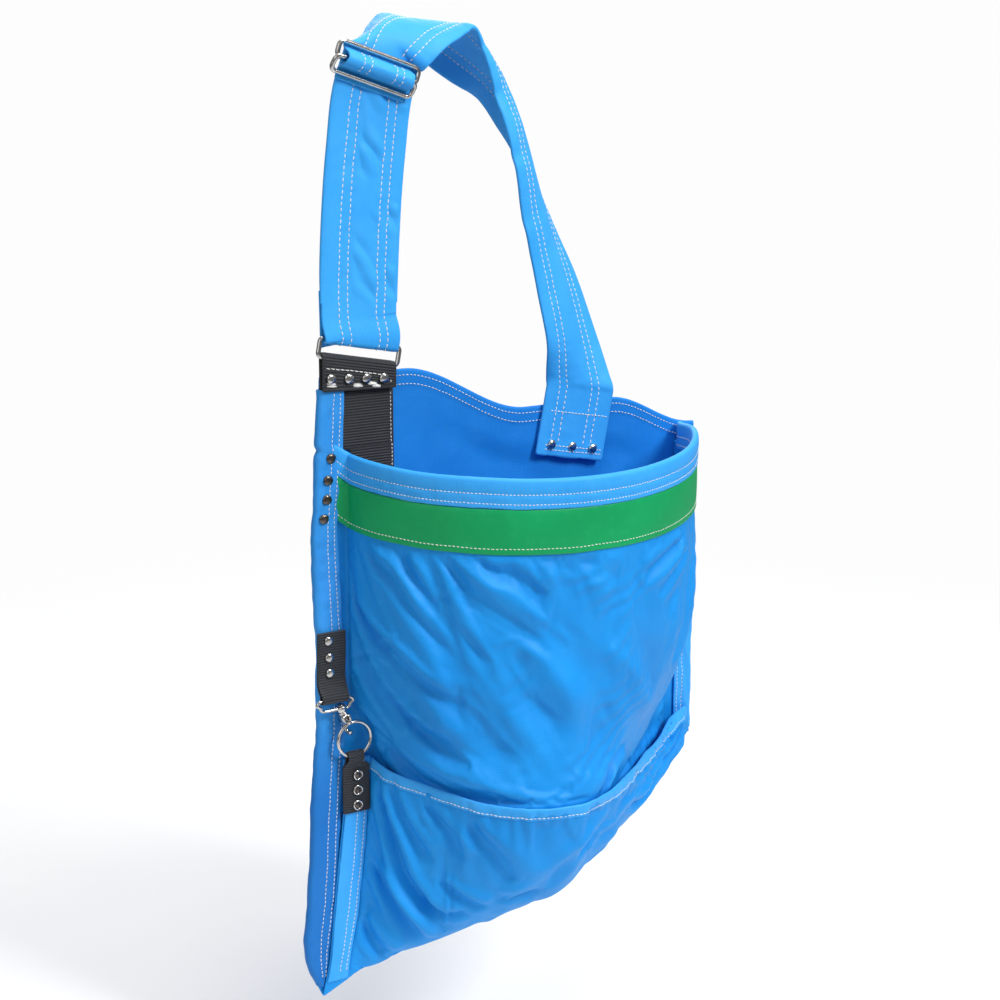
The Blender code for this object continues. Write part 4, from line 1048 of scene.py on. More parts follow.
def rim():
    line, out, depth = rim_line()
    arc = arc_length(line)

    def waver(cell, seed):
        return wobble(arc / cell, seed)[:, None]

    def loft(section, shape):
        a, b = np.array(section, float).T
        a, b = shape(a[None], b[None])
        a = np.where(a < 0, a * depth, np.minimum(a, 1.15 + (a - 1.15) * (0.35 + 0.65 * depth)))
        return line[:, None] + out[:, None] * a[..., None] + Z_AXIS * b[..., None]

    def hem_shape(a, b):
        pucker = 0.42 * waver(4.6, 31) + 0.34 * waver(11.0, 32)
        puff = np.sin(np.clip((b + 24.0) / 24.0, 0, 1) * math.pi) ** 0.5
        near = (bell((b + 16.2) / 3.0) + 0.8 * bell((b + 22.3) / 1.4)
                + 0.5 * bell((b + 8) / 5.0))
        a = a + np.where(a > 1.45, pucker * near * puff + 0.2 * waver(37.0, 33), 0)
        ragged = np.where((b < -22.5) & (a > 1.45), 0.25 * waver(7.0, 35), 0)
        return a, b + 0.35 * waver(46.0, 34) + ragged

    def band_shape(a, b):
        swell = (0.35 * waver(30.0, 41) * np.sin(np.clip((b + 62) / 38, 0, 1) * math.pi)
                 + 0.16 * waver(5.0, 42) * bell((b + 59.5) / 2.5))
        return (np.where(a > 1.4, a + swell, a),
                b + np.where(b < -50, 0.35 * waver(24.0, 43), 0))

    hem = loft(HEM_SECTION, hem_shape)
    attach(tube("rim_hem_cloth", hem, BLUE_STRAP), "bag", "blue_cloth", "rim_hem")
    band = loft(BAND_SECTION, band_shape)
    attach(tube("green_band_vinyl", band, GREEN), "bag", "green_vinyl", "green_band")
    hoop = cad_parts["rim_hoop"].data.materials
    hoop.clear()
    hoop.append(HOOP)
    inner = slice(3, -3)
    return [(rings[inner, j], side * out[inner], kind) for rings, j, side, kind in (
        (hem, 8, 1, "rim"), (hem, 4, 1, "rim"), (hem, 26, -1, "rim"), (hem, 28, -1, "rim"),
        (band, 4, 1, "band"))]


# --------------------------------------------------------------------- edge bindings
def binding(name, node, material, zs, inner, outer, side, seed, drift):
    """Folded strip round a side edge: inner and outer are x in front, side is -1 on the left."""
    n_front, n_fold, n_back = 26, 11, 14
    fold_r, fold_y, front_y, back_y, back_width = 3.55, -2.8, -6.35, 0.75, 17.0
    outer = outer - side * (0.75 * wobble(zs / 27.0, seed) + 0.4 * wobble(zs / 8.0, seed + 1))
    rows = []
    for z, a, b in zip(zs, inner, outer):
        c = b - side * fold_r                        # centre of the folded edge
        row = [(a + (c - a) * q, front_y, z) for q in np.linspace(0, 1, n_front)]
        row += [(c + side * fold_r * math.sin(w), fold_y - fold_r * math.cos(w), z)
                for w in np.linspace(0, math.pi, n_fold + 2)[1:-1]]
        row += [(c - side * back_width * q, back_y, z) for q in np.linspace(0, 1, n_back)]
        rows.append(row)
    pts = np.array(rows)
    n = normals_of(pts, FRONT, at=(len(zs) // 2, n_front // 2))
    u = np.broadcast_to(np.arange(pts.shape[1])[None], pts.shape[:2])
    z = pts[..., 2]
    uneven = (0.42 * noise(z / 6.5, u / 9.0, seed + 2)
              + 0.62 * noise((z + 2.2 * u) / 13.0, u / 14.0, seed + 3))
    pts = pts + n * uneven[..., None] * np.where(u < n_front, 1.0, 0.5)[..., None]
    w = u / (n_front - 1.0)
    seams_at = (0.50, 0.16)                          # share of the front width
    half = 0.78 + 0.22 * np.sin(np.clip(w, 0, 1) * math.pi)
    for share in seams_at:
        half = half - 0.28 * bell((w - share) / 0.045)
    attach(sheet(name, pts, n, half, material), "bag", "blue_cloth", node)
    surface = Surface(pts, n, half)
    k = np.arange(2, len(zs) - 2, 1.0)
    shift = drift * wobble(k / 24.0, seed + 4)
    columns = [share * (n_front - 1) + shift for share in seams_at]
    columns += [n_front + n_fold + c for c in (5.0, 11.0)]
    return [(*surface.at(k, column), "binding") for column in columns]


def side_bindings():
    zs = np.linspace(53.0, -467.0, 420)
    drawn_in = 2.3 * bell((zs - 3.5) / 3.2)          # narrow pinch near z = 3.5
    seams = binding("side_binding_left_cloth", "side_binding_left", BLUE_BIND, zs,
                    binding_left(zs) - 3.5, edge_left(zs) - 3.5 + drawn_in,
                    side=-1.0, seed=51, drift=0.35)
    zs = np.linspace(-18.0, -303.0, 230)
    return seams + binding("side_binding_right_cloth", "side_binding_right", BLUE_STRAP, zs,
                           np.full(len(zs), 170.0), np.full(len(zs), 189.4),
                           side=1.0, seed=61, drift=0.0)


# -------------------------------------------------------------------- webbing pieces
def strip(name, path, span, half, rib, depth, material, columns, seed, waver,
          slant=lambda x, z: 0.0 * x):
    """Webbing along a path of (y, z), with ribs across; span gives its two x at each z."""
    y, z = through(path, 620).T
    s = arc_length(np.column_stack([y, z]))
    ty, tz = np.gradient(y, s), np.gradient(z, s)
    size = np.hypot(ty, tz)
    x0, x1 = span(z)
    u = np.linspace(0, 1, columns)[None]
    x = x0[:, None] + (x1 - x0)[:, None] * u
    pts = np.stack([x, np.broadcast_to(y[:, None], x.shape),
                    z[:, None] + slant(x, z[:, None])], -1)
    nrm = np.stack([0 * x, np.broadcast_to((-tz / size)[:, None], x.shape),
                    np.broadcast_to((ty / size)[:, None], x.shape)], -1)
    pts = pts + nrm * (waver * noise(s[:, None] / 14.0, u * 2.2, seed))[..., None]
    edge = np.minimum(u, 1 - u) * (x1 - x0)[:, None]
    thick = (half + depth * np.sin(2 * math.pi * s[:, None] / rib) * ease(edge / 1.5)
             + 0.10 * bell((edge - 1.0) / 0.8))
    return sheet(name, pts, nrm, thick, material), Surface(pts, nrm, thick)


# Line through the strap's left and right lower ends
BEND_L = np.array([-156.5, -7.4, 75.0])
BEND_R = np.array([62.0, -6.2, 33.0])
BEND_AX = unit(BEND_R - BEND_L)
BEND_UP = unit(np.cross(BEND_AX, (0, 1, 0)))
RING_WIRE = 2.0         # wire radius of the rectangular rings
RING_HALF_W = 36.8
RING_BARS = 15.5        # between the bar centres of the strap ring
ANCHOR_X = -156.3
ANCHOR_HALF_W = 33.0
ANCHOR_T = 0.75         # half thickness allowed for in the folds
# Heavy bars on the anchor webbing: share across from, to, z
ANCHOR_BARS = ((0.04, 0.36, 55.6), (0.40, 0.68, 55.2), (0.66, 0.97, 54.8), (0.60, 0.97, 57.2))


def anchor_webbing():
    y, z = BEND_L[1], BEND_L[2]
    r = RING_WIRE + 0.35 + ANCHOR_T
    path = [(-3.0 - 0.3 - ANCHOR_T, height) for height in np.linspace(-50, 66, 9)]
    path += arc_points(y, z, r, r, 0.0, math.pi, 11)
    path += [(y - r + 0.1, 69), (y - r + 0.5, 62), (y - r + 0.7, 52)]

    def span(z):
        cut = np.where(z < 6, 26.0 * (1 - ease((z - 1.5) / 3.0)), 0)
        return ANCHOR_X - ANCHOR_HALF_W + cut, ANCHOR_X + ANCHOR_HALF_W + 0 * z

    def slant(x, z):
        return BEND_AX[2] / BEND_AX[0] * ease((z - 48) / 16.0) * (x - BEND_L[0])

    columns, mid = 26, 13
    ob, web = strip("anchor_webbing_ribbed", path, span, half=0.66, rib=2.3, depth=0.30,
                    material=BLACK_WIDE, columns=columns, seed=71, waver=0.12, slant=slant)
    attach(ob, "bag", "black_webbing", "anchor_webbing")
    mid_y, mid_z = web.points[:, mid, 1], web.points[:, mid, 2]
    front = np.nonzero((mid_y < y - 1.0) & (mid_z < 69.5))[0]
    back = np.nonzero((mid_y > -6.0) & (mid_z < 50))[0]

    def front_side(row):
        return -1.0 if web.normals[row, mid, 1] > 0 else 1.0

    def on_front(height, share):
        row = np.interp(-height, -mid_z[front], front)
        return web.at(row, share * (columns - 1), front_side(front[len(front) // 2]), 0.05)

    # a thin line near the top, a short pair at the right, then down the right edge
    across = np.linspace(0.03, 0.97, 60)
    seams = [(*on_front(65.8 + 0.8 * np.sin(math.pi * across), across), "web top")]
    heights = np.linspace(63.0, 54.0, 20)
    seams += [(*on_front(heights, share), "web pair") for share in (0.81, 0.93)]
    k = np.linspace(back[0] + 2, back[-1], 200)
    seams.append((*web.at(k, 24.2, front_side(back[10])), "web side"))
    bars = []
    for start, end, height in ANCHOR_BARS:
        for dz in (-0.8, 0.0, 0.8):
            level = height + dz + 0.25 * math.sin(9.0 * start + 4.0 * dz)
            bars.append((*on_front(level, np.linspace(start, end, 60)), "web bar"))
    attach(stitches("webbing_stitches", seams, 0.42), "bag")
    attach(stitches("webbing_bar_stitches", bars, 0.72), "bag")


# -------------------------------------------------------------------- shoulder strap
STRAP_W, STRAP_T = 68.0, 5.0
END_HALF = 1.2          # half thickness of the strap's thin left end
STRAP_Y = -8.0
# Middle line from the left ring over to the right end: x y z, width direction, curl in degrees
STRAP_KEYS = [
    (-155.6, -9.6, 112, 0.990, 0.00, -.140, 0), (-154.6, -8.0, 135, 0.995, 0.00, -.090, 0),
    (-152.0, -8.0, 185, 0.998, 0.00, -.055, 0), (-146.0, -8.0, 245, 0.990, 0.00, -.130, 0),
    (-138.5, -8.0, 292, 0.950, 0.00, -.310, 0), (-131.0, -8.0, 313, 0.935, 0.00, -.355, 0),
    (-126.0, -7.8, 325.5, 0.925, 0.00, -.380, 0), (-113.5, -3.6, 334.8, 0.780, -.37, -.450, 5),
    (-88.0, 9.0, 342.0, 0.590, -.750, -.270, 30), (-57.4, 23.6, 338.3, 0.570, -.808, 0.149, 55),
    (-41.4, 26.4, 330.6, 0.313, -.866, 0.394, 110), (-7.0, 17.8, 296.8, -.322, -.894, 0.310, 120),
    (8.4, 10.1, 257.0, -.426, -.904, -.012, 91), (27.0, 7.0, 192.3, -.700, -.710, -.010, 55),
    (44.6, 1.4, 128, -.870, -.49, 0.03, 27), (56.5, -4.0, 70, -.940, -.30, 0.12, 8),
    (61.5, -6.2, 36, -.981, 0.0, 0.190, 0)]
STRAP_LINES = (0.218, 0.333, 0.724, 0.834)       # stitched lines, as shares of the width


def strap_table():
    """Stations: x y z, width direction, curl, half thickness, skew (1 keeps the direction)."""
    rows = []
    bar = BEND_L + BEND_UP * RING_BARS
    r = RING_WIRE + 0.35 + END_HALF
    for z in (134, 122, 110, 98):                    # the tail behind, down to the ring
        f = (z - 98) / 36.0
        across = BEND_AX * (1 - f) + unit((0.995, 0, -.09)) * f
        rows.append([-154.4 - 0.4 * f, bar[1] + r - 0.1, z, *across, 0, END_HALF, 0])
    for a in np.linspace(0, -math.pi, 9):            # round the ring's upper bar
        centre = bar + Y_AXIS * r * math.cos(a) + BEND_UP * r * math.sin(a)
        rows.append([*centre, *BEND_AX, 0, END_HALF, 0])
    keys = through(STRAP_KEYS, 58)
    for i, key in enumerate(keys):
        half = END_HALF + (STRAP_T / 2 - END_HALF) * ease(i / 4.0)
        skew = ease((i - len(keys) + 8) / 7.0)
        rows.append([*key[:3], *unit(key[3:6]), key[6], half, skew])
    for down in (1.5, 5.0, 12.0, 22.0, 36.0, 50.0, 61.0):
        rows.append([*(BEND_R - BEND_UP * down), *(-BEND_AX), 0, STRAP_T / 2 - 0.3, 1.0])
    return np.array(rows, float)


def quilting(share, heights, power):
    """Puffed height across the strap, one entry of heights per panel between the lines."""
    marks = np.array([0.0, *STRAP_LINES, 1.0])
    panel = np.clip(np.searchsorted(marks, share, side="right") - 1, 0, 4)
    within = (share - marks[panel]) / (marks[panel + 1] - marks[panel])
    puff = np.maximum(np.sin(math.pi * np.clip(within, 0, 1)), 0) ** power
    return np.array(heights)[panel] * puff


def strap_relief(pts, nrm, across, centre, s, u):
    """Strap points with its waves, buckles and slanting wrinkles added."""
    share = (u + 0.5)[None]
    x, z = centre[:, 0], centre[:, 2]
    along = s[:, None]
    free = window(s, 60.0, s[-1] - 75.0, 30.0, 40.0)
    wave = 0.5 * noise(along / 46.0, share * 1.6, 83)
    pts = pts + nrm * (wave * free[:, None])[..., None]
    # soft buckles where it folds over and starts down the right side
    turn = ease((x + 45.0) / 20.0) * window(z, 150.0, 338.0, 50.0, 12.0)
    phase = along / 8.5 + 3.0 * share + 1.2 * noise(along / 19.0, share * 2.0, 84)
    buckle = 1.5 * np.sin(phase) * ease((share - 0.45) / 0.3)
    pts = pts + nrm * (buckle * turn[:, None] * 0.55)[..., None]
    # under the adjuster the strap is drawn in a little
    pull = bell((z - 307.0) / 15.0) * (x < -115)
    draw = (-0.9 * np.sign(u) * (np.abs(u) * 2) ** 3)[None]
    pts = pts + across[:, None] * (draw * pull[:, None])[..., None]
    # slanting wrinkles on the left leg
    leg = window(z, 112.0, 300.0, 25.0, 14.0) * (x < -110)
    phase = along * 0.62 + share * 52.0 + 3.0 * noise(along / 17.0, share * 2.5, 85)
    patch = np.clip(1.5 * noise(along / 26.0, share * 2.2, 86) + 0.60, 0, 1)
    panels = window(share, 0.36, 0.735, 0.10, 0.04) + 0.8 * window(share, 0.83, 0.99, 0.04)
    pts = pts + nrm * (1.15 * np.sin(phase / 2.6) * patch * panels * leg[:, None])[..., None]
    # hold the edge with u below 0 under a soft ceiling where the strap turns over at the top
    over = ease((-u - 0.06) / 0.40)[None] * ((x > -136) & (x < -30) & (z > 300))[:, None]
    ceiling = np.interp(x, (-136.0, -124.0, -114.0, -102.0, -90.0, -76.0),
                        (325.0, 329.0, 336.5, 344.0, 352.0, 375.0))[:, None]
    soft, height = 2.2, pts[..., 2]
    excess = np.exp(np.clip((height - ceiling) / soft, -30, 30))
    pts[..., 2] = height + over * (height - soft * np.log1p(excess) - height)
    return pts


def shoulder_strap():
    rows, columns = 760, 61
    table = strap_table()
    stations = through(table, rows)
    centre = stations[:, :3]
    s = arc_length(centre)
    tangent = unit(np.gradient(centre, s, axis=0))
    skew = np.clip(stations[:, 8], 0, 1)[:, None]
    across = unit(stations[:, 3:6])
    across = unit(across - (1 - skew) * (across * tangent).sum(1)[:, None] * tangent)
    out = unit(-np.cross(tangent, across))
    u = np.linspace(-0.5, 0.5, columns)
    curl = np.radians(np.maximum(stations[:, 6], 0.5))
    r = STRAP_W / curl
    looped = s < np.interp(14.0, np.arange(len(table)), arc_length(table[:, :3]))
    a = u[None] * (curl * np.where(looped, 0.975, 1.0))[:, None]
    pts = (centre[:, None] + across[:, None] * (r[:, None] * np.sin(a))[..., None]
           + out[:, None] * (r[:, None] * (np.cos(a) - 1))[..., None])
    nrm = unit(across[:, None] * np.sin(a)[..., None] + out[:, None] * np.cos(a)[..., None])
    # padding between the stitched lines
    share = (u + 0.5)[None]
    puff = quilting(share, (0.95, 0.5, 1.5, 0.5, 0.95), 0.55)
    base = stations[:, 7][:, None]
    pad = np.clip((base - END_HALF) / 1.3, 0, 1)
    pucker = (0.20 * noise(s[:, None] / 6.0, share * 9.0, 81)
              + 0.22 * noise(s[:, None] / 15.0, share * 5.0, 82))
    pucker = pucker * np.where((share > 0.03) & (share < 0.97), 1.0, 0.3)
    near_line = np.max([bell((share - line) * STRAP_W / 5.0) for line in STRAP_LINES], axis=0)
    half = (0.95 + 0.15 * pad + puff * (0.22 + 0.78 * pad) + 0.55 * pad
            + pucker * pad * (0.35 + 0.65 * near_line))
    half = np.minimum(half, base + 0.75)
    pts = strap_relief(pts, nrm, across, centre, s, u)
    nrm = normals_of(pts, toward=out[rows // 2])
    strap = sheet("shoulder_strap_padded", pts, nrm, half, BLUE_STRAP, rim=5)
    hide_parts("shoulder_strap", "strap_right_end")
    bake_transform(strap)

    surface = Surface(pts, nrm, half)
    seams = []
    k = np.arange(int(np.searchsorted(s, 34.0)), rows - 4, 1.0)
    for line in STRAP_LINES:
        column = line * (columns - 1) + 0.16 * wobble(k / 30.0, int(line * 1000))
        for side in (1.0, -1.0):
            keep = (side > 0) | (s[k.astype(int)] > 62)
            path, normals = surface.at(k, column, side)
            seams.append((path[keep], normals[keep], "strap"))
    # rows sewn across at the right end
    for from_end in (4.0, 8.0, 38.0):
        row = np.interp(s[-1] - from_end, s, np.arange(rows))
        seams.append((*surface.at(row, np.linspace(1.5, columns - 2.5, 60)), "strap end"))
    sewn = stitches("shoulder_strap_stitches", seams, 0.46)
    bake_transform(sewn)


# --------------------------------------------------- rectangular rings and strap end
ADJ_TILT = math.radians(-18.5)
ADJ_AX = np.array([math.cos(ADJ_TILT), 0, math.sin(ADJ_TILT)])
ADJ_UP = np.array([-math.sin(ADJ_TILT), 0, math.cos(ADJ_TILT)])
ADJ_TOP = np.array([-135.8, 0, 318.5])
ADJ_BARS = 13.0         # between the bar centres of an adjuster ring
ADJ_SPAN = 28.5
ADJ_LEAN = math.radians(23)
ADJ_Y = STRAP_Y - STRAP_T / 2 - 0.3 - 2.2 - 0.3 - RING_WIRE
BIGHT_Y = STRAP_Y - STRAP_T / 2 - 0.3 - 1.1
# Folded strap end, behind the outer bars and over the inner two:
# (up from the adjuster's top, y, half thickness)
BIGHT = [
    (1.2, BIGHT_Y - 0.1, 1.0), (0.0, BIGHT_Y - 0.1, 1.0), (-2.4, BIGHT_Y, 1.1),
    (-4.6, BIGHT_Y - 1.6, 1.1), (-6.4, ADJ_Y - 3.0, 1.2), (-8.4, ADJ_Y - 7.4, 1.3),
    (-12.3, ADJ_Y - 9.6, 1.4), (-16.0, ADJ_Y - 8.2, 1.4), (-18.2, ADJ_Y - 4.4, 1.2),
    (-19.4, ADJ_Y - 0.2, 1.1), (-20.8, BIGHT_Y - 0.7, 1.1), (-23.0, BIGHT_Y, 1.1),
    (-25.5, BIGHT_Y, 1.1), (-28.5, BIGHT_Y, 1.1)]


def rectangular_ring(node, body, centre, across, up, normal, bars, corner):
    path = rounded_rect(centre, across, up, RING_HALF_W, bars / 2, corner)
    ob = make_mesh(node + "_wire", wire_shell(path, normal, RING_WIRE), [STEEL])
    attach(ob, body, "bright_steel", node)


def strap_rings():
    rectangular_ring("strap_ring", "strap_ring", BEND_L + BEND_UP * RING_BARS / 2, BEND_AX,
                     BEND_UP, np.cross(BEND_AX, BEND_UP), RING_BARS, corner=3.6)
    upper = ADJ_TOP - ADJ_UP * ADJ_BARS / 2 + Y_AXIS * ADJ_Y
    rectangular_ring("adjuster_ring_upper", "cinch", upper, ADJ_AX, ADJ_UP, Y_AXIS, ADJ_BARS,
                     corner=4.5)
    low_bar = ADJ_TOP - ADJ_UP * (ADJ_SPAN - 4.0) + Y_AXIS * ADJ_Y + ADJ_AX * -2.0
    lean = ADJ_UP * math.cos(ADJ_LEAN) - Y_AXIS * math.sin(ADJ_LEAN)
    rectangular_ring("adjuster_ring_lower", "cinch", low_bar + lean * ADJ_BARS / 2, ADJ_AX,
                     lean, np.cross(ADJ_AX, lean), ADJ_BARS, corner=4.5)


def strap_bight():
    columns = 51
    up, y, thick = through(BIGHT, 110, dims=2).T
    tangent = unit(np.gradient(np.column_stack([up, y]), axis=0))
    out = ADJ_UP[None] * tangent[:, 1:2] - Y_AXIS[None] * tangent[:, 0:1]
    out = np.where((out @ Y_AXIS)[:, None] < 0, out, -out)
    u = np.linspace(-0.5, 0.5, columns)
    width = 62.0 * (1 - 0.05 * bell((up + 12.0) / 5.0))
    pts = (ADJ_TOP + ADJ_UP * up[:, None, None] + Y_AXIS * y[:, None, None]
           + ADJ_AX * (u[None, :, None] * width[:, None, None]))
    nrm = np.tile(out[:, None], (1, columns, 1))
    share = u + 0.5
    puff = quilting(share, (0.5, 0.25, 0.6, 0.25, 0.5), 0.6)
    crown = bell((up + 12.0) / 6.0)[:, None]
    half = (thick[:, None] * 0.80 + puff[None] * (0.25 + 0.75 * crown)
            + 0.12 * noise(up[:, None] / 4.0, share[None] * 8, 91) * crown)
    attach(sheet("strap_bight_cloth", pts, nrm, half, BLUE_STRAP, rim=4), "cinch",
           "blue_cloth", "strap_bight")
    surface = Surface(pts, nrm, half)
    k = np.interp(np.linspace(-5.6, -19.6, 60), up[::-1], np.arange(len(up))[::-1])
    seams = [(*surface.at(k, line * (columns - 1)), "bight") for line in STRAP_LINES]
    attach(stitches("strap_bight_stitches", seams, 0.44), "cinch")


# ------------------------------------------------------------- small tabs and O ring
TAB_W, TAB_T = 25.0, 1.2
TAB_GAP = 0.3
TAB = dict(half=0.50, rib=1.25, depth=0.10, material=BLACK, columns=22, waver=0.10)
SNAP_Y = -15.5
SNAP_C = np.array([-176.7, SNAP_Y, -230.8])
SNAP_UP = unit(np.array([-0.282, 0.0, 0.9594]))
SNAP_ACROSS = np.array([SNAP_UP[2], 0, -SNAP_UP[0]])
EYE_C = np.array([-187.0, SNAP_Y, -206.5])
EYE_WIRE = 1.5
ROUND_C = np.array([-169.6, SNAP_Y, -244.5])
ROUND_R, ROUND_WIRE = 15.3, 1.65
BINDING_FACE_Y = -7.2
STRIP_Y = FLAP_Y - 0.8 - 0.3    # inner face of the flap's edge strip


def upper_tab():
    """Tab folded through the snap's eye."""
    r = EYE_WIRE + 0.45 + TAB_T / 2
    back = BINDING_FACE_Y - TAB_GAP - TAB_T / 2
    front = back - TAB_T - TAB_GAP
    eye_z = EYE_C[2]
    path = [(back, z) for z in (-150, -165, -180, -192)]
    path += [(back - 1.6, -198.5), (SNAP_Y + r, eye_z + 2.5)]
    path += arc_points(SNAP_Y, eye_z, r, r, 0, -math.pi, 9)
    path += [(SNAP_Y - r + 0.4, eye_z + 3.0), (front - 2.2, -195.5), (front, -189)]
    path += [(front, z) for z in (-180, -165, -150)]

    def span(z):
        middle = -187.4 + 1.2 * ease((z + 207) / 57.0)
        half_w = TAB_W / 2 - 0.7 * bell((z + 203) / 5.0)
        return middle - half_w, middle + half_w

    ob, _ = strip("upper_tab_ribbed", path, span, seed=101, **TAB)
    attach(ob, "bag", "black_webbing", "upper_tab")


def lower_tab():
    """Tab folded through the foot of the round ring."""
    back = STRIP_Y - 1.2 - TAB_GAP - TAB_T / 2
    front = back - TAB_T - TAB_GAP
    path = [(back, z) for z in (-311, -298, -286, -271.5)] + [(back - 0.2, -267.5)]
    path += arc_points(SNAP_Y, ROUND_C[2] - ROUND_R, ROUND_WIRE + 1.5 + TAB_T / 2,
                       3.9 + TAB_T / 2, -0.3, math.pi + 0.3, 13)
    path += [(front - 1.0, -267.5), (front, -271)] + [(front, z) for z in (-286, -298, -311)]

    def span(z):
        narrow = ease((z + 271.0) / 7.0)
        half_w = TAB_W / 2 - 0.5 - 5.0 * narrow
        middle = -167.3 + (ROUND_C[0] + 167.3) * narrow
        return middle - half_w, middle + half_w

    ob, _ = strip("lower_tab_ribbed", path, span, seed=141, **TAB)
    attach(ob, "flap", "black_webbing", "lower_tab")


def round_ring():
    path = [ROUND_C + np.array([math.cos(a), 0, math.sin(a)]) * ROUND_R
            for a in np.linspace(0, 2 * math.pi, 97)[:-1]]
    ob = make_mesh("round_ring_wire", wire_shell(path, Y_AXIS, ROUND_WIRE), [STEEL])
    attach(ob, "round_ring", "bright_steel", "round_ring")


# ------------------------------------------------------------------------- dump flap
N_MARGIN, N_SCOOP, N_RISE = 14, 240, 120
# Folds: line of (share along the hem, share of the sweep up), width, dip, step
FLAP_FOLDS = [
    ([(.012, .985), (.045, .912), (.077, .802), (.102, .704), (.149, .607), (.222, .480)],
     7.5, 3.4, -2.0),
    ([(.037, .862), (.063, .772), (.090, .662), (.139, .531), (.215, .300)], 8, -2.2, 0.0),
    ([(.057, .985), (.088, .905), (.124, .830), (.170, .765)], 7, 2.2, -1.2),
    ([(.125, .960), (.174, .910), (.197, .867), (.230, .780)], 7, 2.0, -1.3),
    ([(.174, .714), (.215, .642), (.257, .581), (.300, .520)], 6, 1.8, -1.2),
    ([(.142, .629), (.175, .559), (.217, .524), (.258, .529)], 6, 1.7, -1.0),
    ([(.008, .724), (.052, .659), (.102, .554), (.139, .471), (.205, .270)], 8, 3.0, -1.8),
    ([(.006, .500), (.057, .391), (.129, .190)], 8, 2.8, -1.4),
    ([(.190, .850), (.197, .687), (.214, .486), (.234, .276)], 2.2, -0.7, 0.5),
    ([(.215, .950), (.259, .880), (.299, .802), (.345, .650)], 10, 2.2, -1.4),
    ([(.295, .599), (.346, .581), (.410, .534)], 8, 1.4, -0.8),
    ([(.508, .812), (.446, .757), (.391, .629), (.319, .564)], 10, 1.8, 1.0),
    ([(.790, .799), (.713, .735), (.594, .762), (.484, .732)], 7, 2.0, 1.2),
    ([(.758, .940), (.626, .892), (.531, .840), (.467, .742), (.464, .632)], 8, 2.0, 1.0),
    ([(.620, .60), (.540, .55), (.470, .45), (.420, .33)], 9, 1.8, 1.0),
    ([(.300, .30), (.380, .28), (.470, .25)], 9, -1.4, 0.7),
]
# Turned-under seam at the hinge, as (y, up from the hinge line): at the margin and the scoop
SEAM_MARGIN = np.array([
    (-4.05, 9.0), (-4.05, 6.0), (-4.05, 3.2), (-4.1, 0.8), (-4.5, -0.9), (-5.4, -1.9),
    (-6.4, -2.2), (-7.5, -1.8), (-8.3, -0.9)])
SEAM_SCOOP = np.array([
    (-4.05, 9.0), (-4.05, 6.2), (-4.05, 3.8), (-4.15, 1.8), (-4.5, 0.3), (-5.2, -0.6),
    (-6.1, -0.9), (-7.1, -0.8), (-8.0, -0.4)])


def flap_base(rise, g):
    """Smooth flap: the flat left margin, then the scoop."""
    columns = []
    for m in np.linspace(0, 1, N_MARGIN + 1)[:-1]:
        foot = hinge_point(HINGE_L[0] + (MARGIN_X - HINGE_L[0]) * m)[2]
        z = foot + (-264.0 - 3.0 * m - foot) * flap_rise(rise * math.pi / 2)
        x = flap_left(z) * (1 - m) + flap_margin(z) * m
        columns.append(np.stack([x, np.full(N_RISE, FLAP_Y), z], -1))
    scoop = flap_point(g[:, None], (rise * math.pi / 2)[None])
    return np.concatenate([np.array(columns), scoop])


